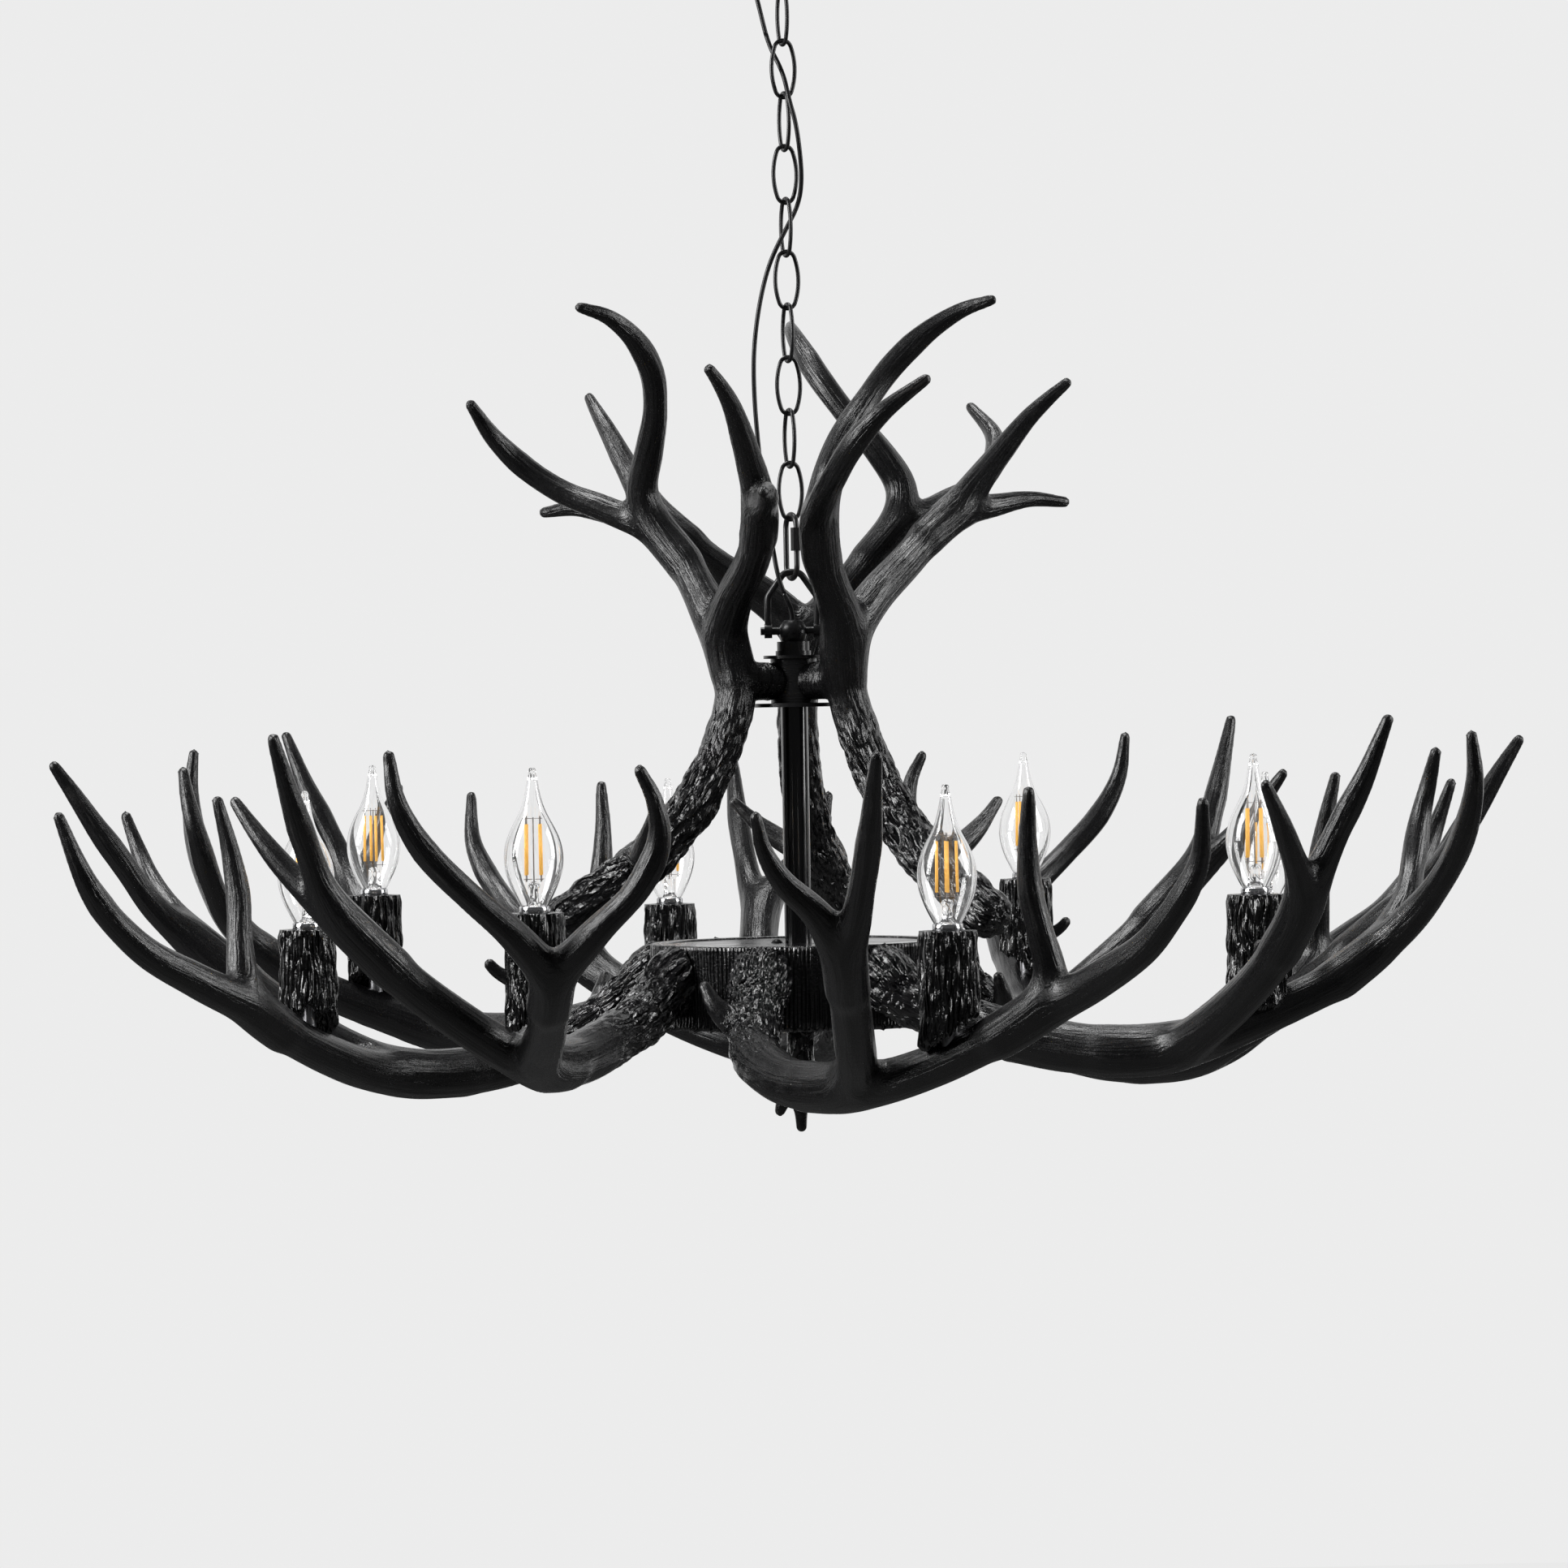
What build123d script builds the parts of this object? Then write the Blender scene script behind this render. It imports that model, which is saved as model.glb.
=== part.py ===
"""Antler chandelier: eight lower antlers with candle lamps round a bark-sided pan, three upper
antlers round a hub, hung on a chain from a ceiling canopy.

Millimetres, +Z up. The origin is the centre of the canopy's rim, on the ceiling. -Y is the front.
"""
from build123d import *
from math import cos, pi, radians, sin, sqrt, tan
import os

os.makedirs("parts", exist_ok=True)

# ---------------------------------------------------------------- driving dimensions
RUNNING_CLEARANCE = 0.05     # radial, between a shaft and the bore that turns or slides on it
LINK_CLEARANCE = 0.1         # between two wires that hang in each other
SEAT_CLEARANCE = 0.1         # between a part and the recess that it drops into

# ceiling canopy and its loop
CANOPY_RADIUS = 65.0
CANOPY_DEPTH = 26.0
CANOPY_WALL = 1.5
CANOPY_EDGE_RADIUS = 9.0
CROSSBAR_WIDTH = 16.0
CROSSBAR_THICKNESS = 2.5
CROSSBAR_SLOT_SPACING = 83.0
CROSSBAR_SLOT_LENGTH = 12.0
CROSSBAR_SLOT_WIDTH = 4.6
CROSSBAR_END_MARGIN = 4.5    # metal left between a slot and the bar's end
LOOP_BODY_RADIUS = 13.0
LOOP_BODY_LENGTH = 14.0
LOOP_RING_RADIUS = 9.0       # centreline of the ring under the loop's body
LOOP_WIRE = 4.0
LOOP_STUB_RADIUS = 5.0
LOCK_NUT_FLATS = 16.0
LOCK_NUT_HEIGHT = 5.0
NUT_CHAMFER = 0.4
RING_NUT_RADIUS = 19.0
RING_NUT_HEIGHT = 6.0
RING_NUT_GRIPS = 24
RING_NUT_GRIP_RADIUS = 1.2
BUSHING_RADIUS = 4.0
BUSHING_HEAD = 1.6           # how far the bushing's head stands under the canopy
BUSHING_PLACE = (-26.0, 12.0)

# chain, quick link and bow
CHAIN_AZIMUTH = 23.0         # turn of the whole chain from the front view
LINK_COUNT = 11
LINK_LENGTH = 39.8           # outside
LINK_WIDTH = 19.0            # outside
LINK_WIRE = 2.7
LINK_END_RADIUS = 6.0        # centreline of a link's tight round ends
QUICK_LINK_LENGTH = 45.0
QUICK_LINK_WIDTH = 21.0
QUICK_LINK_WIRE = 3.6
SLEEVE_LENGTH = 15.0
SLEEVE_FLATS = 6.6
QUICK_LINK_LAP = 1.5         # straight wire above the cut in the sleeve's leg
QUICK_LINK_CUT = 7.0
BOW_WIRE = 4.4
BOW_HEIGHT = 38.2            # from the pivot to the middle of the top wire
BOW_HALF_WIDTH = 16.0        # to the middle of each arm at the widest
BOW_TOP_HALF_WIDTH = 5.0
BOW_SHOULDER = 16.0          # the arms turn inwards this far below the top wire
BOW_BEND = 7.0
PIVOT_RADIUS = 2.5
BOW_EYE_RADIUS = 4.6
BOW_EYE_THICKNESS = 5.0

# hub, from the knob down
KNOB_RADIUS = 9.0
KNOB_CROWN_RADIUS = 5.5
KNOB_FOOT_RADIUS = 7.0
KNOB_RISE = 7.0              # top of the knob above its pivot
CABLE_IN_KNOB = 3.0          # how far the cable's end lies inside the knob
KNOB_NECK_DROP = 7.0         # neck's top below the pivot
NECK_RADIUS = 10.5
NECK_HEIGHT = 6.0
FLANGE_RADIUS = 11.5
FLANGE_HEIGHT = 3.0
TOP_PLATE_RADIUS = 19.5
TOP_PLATE_THICKNESS = 2.0
COLLAR_RADIUS = 15.0
COLLAR_HEIGHT = 29.0
BOTTOM_PLATE_RADIUS = 26.5
BOTTOM_PLATE_THICKNESS = 2.5
BOSS_RADIUS = 12.0           # upper antler's boss, clamped between the hub's two plates
BOSS_REACH = 27.0            # from the collar to the middle of the antler's trunk
HUB_STUD_RADIUS = 3.0
HUB_STUD_IN_COLLAR = 8.0
HUB_STUD_IN_ANTLER = 22.0

# stem and the threaded rod inside it
STEM_RADIUS = 8.75
STEM_BORE_RADIUS = 6.5
STEM_LENGTH = 153.0
ROD_RADIUS = 5.0
ROD_BORE_RADIUS = 3.5
ROD_NUT_FLATS = 17.0
ROD_NUT_HEIGHT = 5.0
ROD_SLOT_WIDTH = 4.0         # slot in the rod's wall where the lead comes out into the pan
ROD_SLOT_LENGTH = 24.0
ROD_SLOT_DROP = 3.0
ROD_IN_FINIAL = 12.0
ROD_END_GAP = 1.0            # between the rod's end and the floor of the finial's bore

# pan
PAN_RADIUS = 96.0
PAN_HEIGHT = 56.0
PAN_WALL = 4.0
PAN_RIM_WIDTH = 11.0
PAN_RIM_THICKNESS = 5.0
LID_THICKNESS = 2.0
LID_RECESS = 1.0             # how far the lid's top lies below the rim
LID_SEAT_WIDTH = 3.0
FLOOR_THICKNESS = 4.0
FLOOR_RECESS = 3.0           # how far the floor lies above the pan's lower edge
LID_SCREW_RADIUS = 4.0
LID_SCREW_RISE = 2.6
LID_SCREW_PLACE = (-14.0, -2.0)
LID_SCREW_SHANK = 1.9
LID_SCREW_LENGTH = 9.0
CONNECTOR_MOUTH_RADIUS = 6.5
CONNECTOR_FOOT_RADIUS = 4.0
CONNECTOR_HEIGHT = 22.0
CONNECTOR_BORE_RADIUS = 4.6
CONNECTOR_BORE_DEPTH = 12.0
CONNECTOR_PLACES = ((34.0, 0.0), (28.0, 20.0), (28.0, -20.0))

# lower antlers
BURR_DROP = 21.0             # burr's middle below the pan's rim
BOLT_RADIUS = 3.0
BOLT_HEAD_FLATS = 10.0
BOLT_HEAD_HEIGHT = 4.0
BOLT_WASHER_RADIUS = 8.0
BOLT_WASHER_THICKNESS = 1.2
BOLT_IN_ANTLER = 24.0

# candle cups and lamps
CUP_RADIUS = 18.5
CUP_HEIGHT = 72.0
CUP_BORE_RADIUS = 12.0
CUP_BORE_DEPTH = 44.0
CUP_SKEW = 38.0              # slant of the cup's broken lower end, in degrees
NUB_RADIUS = 5.0
NUB_REACH = 8.0              # how far the small prong stands out of the cup
NUB_DROP = 38.0              # prong's middle below the cup's top
NUB_TAPER = 4.0
NUB_SLOPE = 0.3              # rise of the prong for each unit of its reach
LAMP_THREAD_RADIUS = 6.9
LAMP_THREAD_LENGTH = 24.0
LAMP_SKIRT_RADIUS = 8.5
LAMP_SKIRT_HEIGHT = 4.0
GLASS_RADIUS = 18.0
GLASS_HEIGHT = 84.0
GLASS_WALL = 1.0
GLASS_FOOT_RADIUS = 7.5
GLASS_BELLY_HEIGHT = 35.0
GLASS_NECK_RADIUS = 6.0
GLASS_NECK_HEIGHT = 68.0
GLASS_TIP_RADIUS = 1.5
GLASS_FOOT_DIRECTION = (0.8, 1)    # out and up, along the outline
GLASS_TIP_DIRECTION = (-0.1, 1)
FILAMENT_COUNT = 4
FILAMENT_RADIUS = 0.9
FILAMENT_LENGTH = 36.0
FILAMENT_RING_RADIUS = 5.5
LAMP_STEM_RADIUS = 3.2
LAMP_STEM_HEIGHT = 20.0
LAMP_STEM_TAPER = 2.0
NIPPLE_RADIUS = 4.8
NIPPLE_BORE_RADIUS = 3.4

CABLE_RADIUS = 1.5
CORD_BEND_SHARE = 0.45       # part of a straight run that a bend at its end may take

# ---------------------------------------------------------------- sizes worked out from them
CROSSBAR_LENGTH = CROSSBAR_SLOT_SPACING + CROSSBAR_SLOT_LENGTH + 2 * CROSSBAR_END_MARGIN
NIPPLE_LENGTH = CUP_HEIGHT - CUP_BORE_DEPTH        # from the bore's floor to the cup's foot
LINK_PITCH = LINK_LENGTH - 2 * LINK_WIRE - LINK_CLEARANCE
LINK_HALF = (LINK_LENGTH - LINK_WIRE) / 2          # link's middle to the middle of its end wire
QUICK_LINK_HALF = (QUICK_LINK_LENGTH - QUICK_LINK_WIRE) / 2

quick_link_low = BOW_HEIGHT - (BOW_WIRE + QUICK_LINK_WIRE) / 2 - LINK_CLEARANCE
quick_link_rise = quick_link_low + QUICK_LINK_HALF
first_link_low = (
    quick_link_low + 2 * QUICK_LINK_HALF - (QUICK_LINK_WIRE + LINK_WIRE) / 2 - LINK_CLEARANCE
)
first_link_rise = first_link_low + LINK_HALF
last_link_rise = first_link_rise + (LINK_COUNT - 1) * LINK_PITCH
loop_low_rise = last_link_rise + LINK_HALF - (LINK_WIRE + LOOP_WIRE) / 2 - LINK_CLEARANCE
loop_body_rise = loop_low_rise + 2 * LOOP_RING_RADIUS - LOOP_WIRE / 2
canopy_bottom_rise = loop_body_rise + RING_NUT_HEIGHT

PIVOT_Z = -CANOPY_DEPTH - canopy_bottom_rise       # the bow's pivot in the knob
KNOB_TOP_Z = PIVOT_Z + KNOB_RISE
NECK_TOP_Z = PIVOT_Z - KNOB_NECK_DROP
FLANGE_TOP_Z = NECK_TOP_Z - NECK_HEIGHT
TOP_PLATE_TOP_Z = FLANGE_TOP_Z - FLANGE_HEIGHT
COLLAR_TOP_Z = TOP_PLATE_TOP_Z - TOP_PLATE_THICKNESS
BOSS_Z = COLLAR_TOP_Z - COLLAR_HEIGHT / 2
COLLAR_BOTTOM_Z = COLLAR_TOP_Z - COLLAR_HEIGHT
STEM_TOP_Z = COLLAR_BOTTOM_Z - BOTTOM_PLATE_THICKNESS
LID_TOP_Z = STEM_TOP_Z - STEM_LENGTH
RIM_Z = LID_TOP_Z + LID_RECESS
PAN_BOTTOM_Z = RIM_Z - PAN_HEIGHT
FLOOR_TOP_Z = PAN_BOTTOM_Z + FLOOR_RECESS + FLOOR_THICKNESS
FLOOR_BOTTOM_Z = PAN_BOTTOM_Z + FLOOR_RECESS
BURR_Z = RIM_Z - BURR_DROP
ROD_HOLE_RADIUS = ROD_RADIUS + SEAT_CLEARANCE

# ---------------------------------------------------------------- antler shapes
# Each limb is a list of stations (x, y, z, radius). A station of a lower antler is measured from
# the middle of its burr, and one of an upper antler from the middle of its boss, as they stand
# when that antler is the front one: x to the right, y to the back, z up.
WIDE_BURR_AZIMUTH = -104.7
WIDE_MOULD = {
    "beam": [
        (3, 16, 8, 20), (0, -3, -3, 20.5), (-2, -16, -14, 17), (-4, -40, -32, 16),
        (-3, -66, -45, 16), (13, -105, -57, 15), (36, -138, -61, 14.5), (52, -165, -57, 14),
        (58, -196, -44, 12.5), (57, -225, -27, 12), (53, -270, 7, 11.5), (48, -296, 29, 11),
        (35, -317, 52, 9), (16, -330, 71, 7), (5, -338, 90, 5), (1, -345, 109, 2.3),
    ],
    "front_prong": [
        (53, -270, 7, 11), (54, -299, 30, 10.5), (59, -322, 52, 8.8), (64, -340, 78, 7.2),
        (67, -357, 103, 5.6), (69, -371, 125, 4.2), (71, -383, 143, 2.3),
    ],
    "side_branch": [
        (30, -128, -60, 13), (52, -159, -60, 13.5), (80, -186, -54, 13), (107, -206, -44, 12.5),
        (145, -234, -25, 12), (175, -254, -7, 11.8), (202, -280, 9, 11), (225, -307, 26, 9.5),
        (241, -327, 47, 8), (252, -339, 66, 6.8), (258, -347, 84, 5.2), (259, -358, 113, 2.3),
    ],
    "inner_prong": [
        (145, -234, -25, 11), (167, -250, -7, 11), (173, -255, 12, 9.6), (168, -257, 36, 8.2),
        (163, -258, 60, 7.2), (161, -263, 90, 5.4), (162, -270, 120, 2.3),
    ],
    "brow": [
        (-3, -26, -24, 11), (-15, -37, -25, 9), (-27, -38, -16, 6.5), (-35, -35, -2, 3.5),
    ],
}
WIDE_CUP_FOOT = (114, -219, -35)

TALL_BURR_AZIMUTH = -145.2
TALL_MOULD = {
    "beam": [
        (13, 9, 8, 20), (-2, -2, -3, 20.5), (-11, -14, -13, 17), (-26, -46, -27, 16.5),
        (-52, -100, -41, 16), (-71, -148, -46, 15), (-80, -192, -40, 14), (-77, -222, -30, 13),
        (-73, -250, -19, 12), (-70, -284, -2, 11.5), (-71, -310, 17, 11), (-87, -332, 40, 9.6),
        (-112, -347, 64, 8), (-138, -357, 92, 6.6), (-153, -361, 120, 5), (-158, -359, 148, 2.3),
    ],
    "front_prong": [
        (-70, -284, -2, 11), (-62, -309, 18, 10.5), (-40, -328, 42, 9), (-16, -336, 66, 7.5),
        (-2, -342, 93, 6.2), (-3, -348, 117, 4.6), (-12, -352, 137, 2.3),
    ],
    "side_branch": [
        (-68, -140, -46, 13), (-82, -176, -44, 13.5), (-109, -201, -28, 12.5),
        (-139, -223, -5, 12), (-168, -240, 21, 11.5), (-191, -252, 46, 10.8),
        (-206, -262, 71, 9.2), (-214, -273, 96, 7.6), (-222, -288, 126, 5.2),
        (-230, -301, 159, 2.3),
    ],
    "outer_prong": [
        (-168, -240, 21, 11), (-190, -249, 44, 10.5), (-212, -248, 64, 9),
        (-231, -241, 83, 7.2), (-247, -233, 103, 5), (-260, -225, 121, 2.3),
    ],
}
TALL_CUP_FOOT = (-80, -231, -21)

UPPER_AZIMUTH = 205.3
UPPER_MOULD = {
    "trunk": [
        (-110, -35, -150, 15.5), (-91, -30, -138, 16), (-67, -23, -121, 15.5),
        (-46, -18, -102, 15), (-27, -13, -78, 14.3), (-9, -6, -41, 13.5), (0, 0, -9, 13),
        (-4, 6, 17, 13.3), (-13, 12, 41, 13), (-22, 24, 60, 11.8), (-33, 37, 80, 11),
        (-49, 46, 102, 10.8), (-59, 46, 126, 10.2), (-54, 32, 152, 9), (-49, 12, 176, 8),
        (-50, -8, 200, 7), (-60, -27, 220, 5.8), (-76, -44, 234, 4.2), (-94, -56, 240, 2.3),
    ],
    "rear_prong": [
        (-33, 37, 80, 10), (-52, 50, 100, 10), (-84, 63, 115, 8.6), (-112, 72, 127, 7.4),
        (-137, 74, 144, 6), (-157, 64, 164, 4.6), (-170, 40, 184, 2.3),
    ],
    "front_branch": [
        (-2, 2, 8, 12), (-5, -2, 32, 12.5), (1, -22, 54, 11.8), (12, -52, 75, 11),
        (18, -78, 96, 10.6), (17, -101, 117, 10), (11, -122, 143, 8), (3, -142, 169, 6),
        (-4, -155, 183, 4.4), (-11, -165, 193, 2.3),
    ],
    "front_prong": [
        (17, -74, 93, 9.6), (19, -100, 108, 9.2), (23, -130, 114, 7.2), (23, -157, 118, 5),
        (21, -182, 116, 2.3),
    ],
    "brow": [
        (-58, -20, -114, 11), (-60, -42, -110, 8), (-56, -64, -96, 5.8), (-51, -81, -80, 2.6),
    ],
}

# the finial's stations are measured from the middle of the pan's floor
FINIAL_MOULD = {
    "stub": [
        (0, 0, 6, 9), (0, 0, -6, 9), (0, 0, -18, 8.4), (0, -1, -32, 7.4), (0, -1, -46, 5.8),
        (0, -1, -58, 4), (0, -1, -68, 2.3),
    ],
    "prong": [(0, 0, -24, 6), (-6, -2, -36, 5), (-11, -3, -47, 3.8), (-14, -3, -57, 2.2)],
}

# the supply cable's route through the chain: x, y and the height above the bow's pivot
CABLE_ROUTE = [
    (-22, 10.5, 436), (-15, 7.5, 407), (-9.5, 6, 382), (0, 0, 363), (3.5, -10.5, 344),
    (7.5, -11, 330), (10, -8, 311), (11, -2, 292), (8.5, 3, 277), (0, 0, 261), (-9, -1.5, 244),
    (-14.5, -3, 228), (-19.5, -4, 205), (-22.5, -4.5, 180), (-22.5, -4, 152), (-20.5, -3, 122),
    (-18, -3, 95), (-14.5, -2.5, 70), (-11.5, -4.5, 50), (-9, -6, 35), (-4, -4.5, 21),
]
CABLE_LAST_RUN = 9.0         # straight stretch into the knob
CABLE_FIRST_RUN = 17.0       # from the canopy to the cable's first corner
LEAD_TURN_DROP = 19.0        # where the lead turns out of the rod, below the lid's top
LEAD_FALL = 2.0
LEAD_IN_CONNECTOR = 10.0


def write(solid, name):
    """label a finished piece and write its STEP file"""
    solid.label = name
    export_step(solid, f"parts/{name}.step")


def polar(radius, azimuth):
    """x and y of a point at a distance and an azimuth from the chandelier's axis"""
    return radius * cos(radians(azimuth)), radius * sin(radians(azimuth))


def turned(solid, azimuth):
    """a copy of a solid turned about the chandelier's axis"""
    return solid.rotate(Axis.Z, azimuth)


# ---------------------------------------------------------------- limbs and antlers
def limb(stations, seat):
    """one limb, lofted through circles square to its line"""
    points = [Vector(x, y, z) + seat for x, y, z, _ in stations]
    side = Vector(1, 0, 0)
    with BuildPart() as made:
        for index, station in enumerate(stations):
            before = points[max(index - 1, 0)]
            after = points[min(index + 1, len(points) - 1)]
            along = (after - before).normalized()
            side = (side - along * side.dot(along)).normalized()
            with BuildSketch(Plane(origin=points[index], x_dir=side, z_dir=along)):
                Circle(station[3])
        loft()
    return made.part


def antler(mould, seat):
    """all limbs of one antler as one solid"""
    with BuildPart() as made:
        for stations in mould.values():
            add(limb(stations, seat))
    return made.part


def radial_plane(radius, azimuth, height):
    """a plane at a point round the axis, with its normal pointing outwards"""
    x, y = polar(radius, azimuth)
    outwards = (*polar(1, azimuth), 0)
    return Plane(origin=(x, y, height), x_dir=(0, 0, 1), z_dir=outwards)


def radial_rod(radius, azimuth, height, start, end):
    """a rod that points outwards, between two distances from the axis"""
    with BuildPart() as made:
        with BuildSketch(radial_plane(start, azimuth, height)):
            Circle(radius)
        extrude(amount=end - start)
    return made.part


def lower_antler(bare_antler, azimuth, cup_place):
    """a lower antler, its burr cut to the pan's wall and drilled for its bolt and its nipple"""
    x, y, top = cup_place
    with BuildPart() as made:
        add(bare_antler)
        add(
            radial_rod(BOLT_RADIUS + SEAT_CLEARANCE, azimuth, BURR_Z, 0, PAN_RADIUS + BOLT_IN_ANTLER),
            mode=Mode.SUBTRACT,
        )
        with BuildSketch(Plane((x, y, top - CUP_BORE_DEPTH))):
            Circle(NIPPLE_RADIUS + SEAT_CLEARANCE)
        extrude(amount=-NIPPLE_LENGTH, mode=Mode.SUBTRACT)
    return made.part


def candle_cup(bare_antler, cup_place, has_nub):
    """a bark stub with a slanted lower end, hollowed for a lamp socket and fitted to its antler"""
    x, y, top = cup_place
    slant = radians(CUP_SKEW)
    with BuildPart() as made:
        with BuildSketch(Plane((x, y, top))):
            Circle(CUP_RADIUS)
        extrude(amount=-CUP_HEIGHT)
        lower_end = Plane(
            origin=(x - CUP_RADIUS, y, top - CUP_HEIGHT), z_dir=(-sin(slant), 0, cos(slant))
        )
        with BuildSketch(lower_end):
            Rectangle(6 * CUP_RADIUS, 6 * CUP_RADIUS)
        extrude(amount=-2 * CUP_HEIGHT, mode=Mode.SUBTRACT)
        if has_nub:
            with BuildSketch(Plane((x, y, top - NUB_DROP), z_dir=(-1, 0, NUB_SLOPE))):
                Circle(NUB_RADIUS)
            extrude(amount=CUP_RADIUS + NUB_REACH, taper=NUB_TAPER)
        with BuildSketch(Plane((x, y, top))):
            Circle(CUP_BORE_RADIUS)
        extrude(amount=-CUP_BORE_DEPTH, mode=Mode.SUBTRACT)
        with BuildSketch(Plane((x, y, top))):
            Circle(NIPPLE_RADIUS + SEAT_CLEARANCE)
        extrude(amount=-CUP_HEIGHT, mode=Mode.SUBTRACT)
    pieces = made.part - bare_antler
    return pieces.solids().sort_by(SortBy.VOLUME)[-1]


def upper_antler(mould, azimuth):
    """an upper antler with the boss that the hub's plates clamp, drilled for its stud"""
    trunk_distance = COLLAR_RADIUS + BOSS_REACH
    x, y = polar(trunk_distance, azimuth)
    stud_hole = radial_rod(
        HUB_STUD_RADIUS + SEAT_CLEARANCE, azimuth, BOSS_Z, 0, COLLAR_RADIUS + HUB_STUD_IN_ANTLER
    )
    with BuildPart() as made:
        add(antler(mould, Vector(x, y, BOSS_Z)))
        add(radial_rod(BOSS_RADIUS, azimuth, BOSS_Z, 0, trunk_distance))
        with Locations((0, 0, BOSS_Z)):
            Cylinder(COLLAR_RADIUS, COLLAR_HEIGHT, mode=Mode.SUBTRACT)
        add(stud_hole, mode=Mode.SUBTRACT)
    return made.part


# ---------------------------------------------------------------- turned and bent parts
def disc(radius, bottom, top, bore=0.0):
    """a round plate or tube about the chandelier's axis"""
    with BuildPart() as made:
        with BuildSketch(Plane.XY.offset(bottom)):
            Circle(radius)
            if bore:
                Circle(bore, mode=Mode.SUBTRACT)
        extrude(amount=top - bottom)
    return made.part


def hex_nut(flats, bottom, height, bore):
    """a hexagon nut about the chandelier's axis"""
    with BuildPart() as made:
        with BuildSketch(Plane.XY.offset(bottom)):
            RegularPolygon(flats / 2, 6, major_radius=False)
            Circle(bore, mode=Mode.SUBTRACT)
        extrude(amount=height)
        chamfer(made.edges().group_by(Axis.Z)[-1].filter_by(GeomType.LINE), NUT_CHAMFER)
    return made.part


def upright_plane(azimuth, height):
    """a plane through the axis: its x runs level at the azimuth and its y runs up"""
    x, y = polar(1, azimuth)
    return Plane(origin=(0, 0, height), x_dir=(x, y, 0), z_dir=(y, -x, 0))


def oval_link(azimuth, height):
    """one chain link: tight round ends joined by long bowed sides"""
    half_width = (LINK_WIDTH - LINK_WIRE) / 2
    end_centre = LINK_HALF - LINK_END_RADIUS
    side_radius = (half_width**2 + end_centre**2 - LINK_END_RADIUS**2) / (
        2 * (half_width - LINK_END_RADIUS)
    )
    reach = LINK_END_RADIUS / (side_radius - LINK_END_RADIUS)
    join_x = reach * (side_radius - half_width)
    join_y = end_centre * (1 + reach)
    plane = upright_plane(azimuth, height)
    with BuildPart() as made:
        with BuildLine(plane) as path:
            ThreePointArc((join_x, -join_y), (half_width, 0), (join_x, join_y))
            ThreePointArc((join_x, join_y), (0, LINK_HALF), (-join_x, join_y))
            ThreePointArc((-join_x, join_y), (-half_width, 0), (-join_x, -join_y))
            ThreePointArc((-join_x, -join_y), (0, -LINK_HALF), (join_x, -join_y))
        ring = path.wire()
        with BuildSketch(Plane(origin=ring @ 0, z_dir=ring % 0)):
            Circle(LINK_WIRE / 2)
        sweep(path=ring)
    return made.part


def bent_wire(plane, points, bend, wire_radius):
    """round wire along straight runs joined by arcs, in one plane"""
    with BuildPart() as made:
        with BuildLine(plane) as path:
            FilletPolyline(*points, radius=bend)
        run = path.wire()
        with BuildSketch(Plane(origin=run @ 0, z_dir=run % 0)):
            Circle(wire_radius)
        sweep(path=run)
    return made.part


def cord_tube(points, radius, label):
    """a round cord along straight runs joined by arcs, each as large as its two runs allow"""
    corners = [Vector(*point) for point in points]
    bends = []
    for before, corner, after in zip(corners, corners[1:], corners[2:]):
        shorter = min((corner - before).length, (after - corner).length)
        half_turn = radians((corner - before).get_angle(after - corner)) / 2
        bends.append(CORD_BEND_SHARE * shorter / tan(half_turn))
    with BuildPart() as made:
        with BuildLine() as path:
            FilletPolyline(*corners, radius=bends)
        run = path.wire()
        with BuildSketch(Plane(origin=run @ 0, z_dir=run % 0)):
            Circle(radius)
        sweep(path=run)
    print(label, "length", round(run.length, 1), "radii", [round(bend, 1) for bend in bends])
    print(label, "volume", round(made.part.volume, 1), "of", round(pi * radius**2 * run.length, 1))
    return made.part


def glass_envelope(inset):
    """the lamp's pointed glass as a solid of revolution, drawn in by an inset"""
    with BuildPart() as made:
        with BuildSketch(Plane.XZ):
            with BuildLine():
                outline = Spline(
                    (GLASS_FOOT_RADIUS - inset, 0),
                    (GLASS_RADIUS - inset, GLASS_BELLY_HEIGHT),
                    (GLASS_NECK_RADIUS - inset, GLASS_NECK_HEIGHT),
                    (GLASS_TIP_RADIUS - inset / 2, GLASS_HEIGHT - inset),
                    tangents=(GLASS_FOOT_DIRECTION, GLASS_TIP_DIRECTION),
                )
                Line(outline @ 1, (0, GLASS_HEIGHT - inset))
                Line((0, GLASS_HEIGHT - inset), (0, 0))
                Line((0, 0), outline @ 0)
            make_face()
        revolve(axis=Axis.Z)
    return made.part


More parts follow.
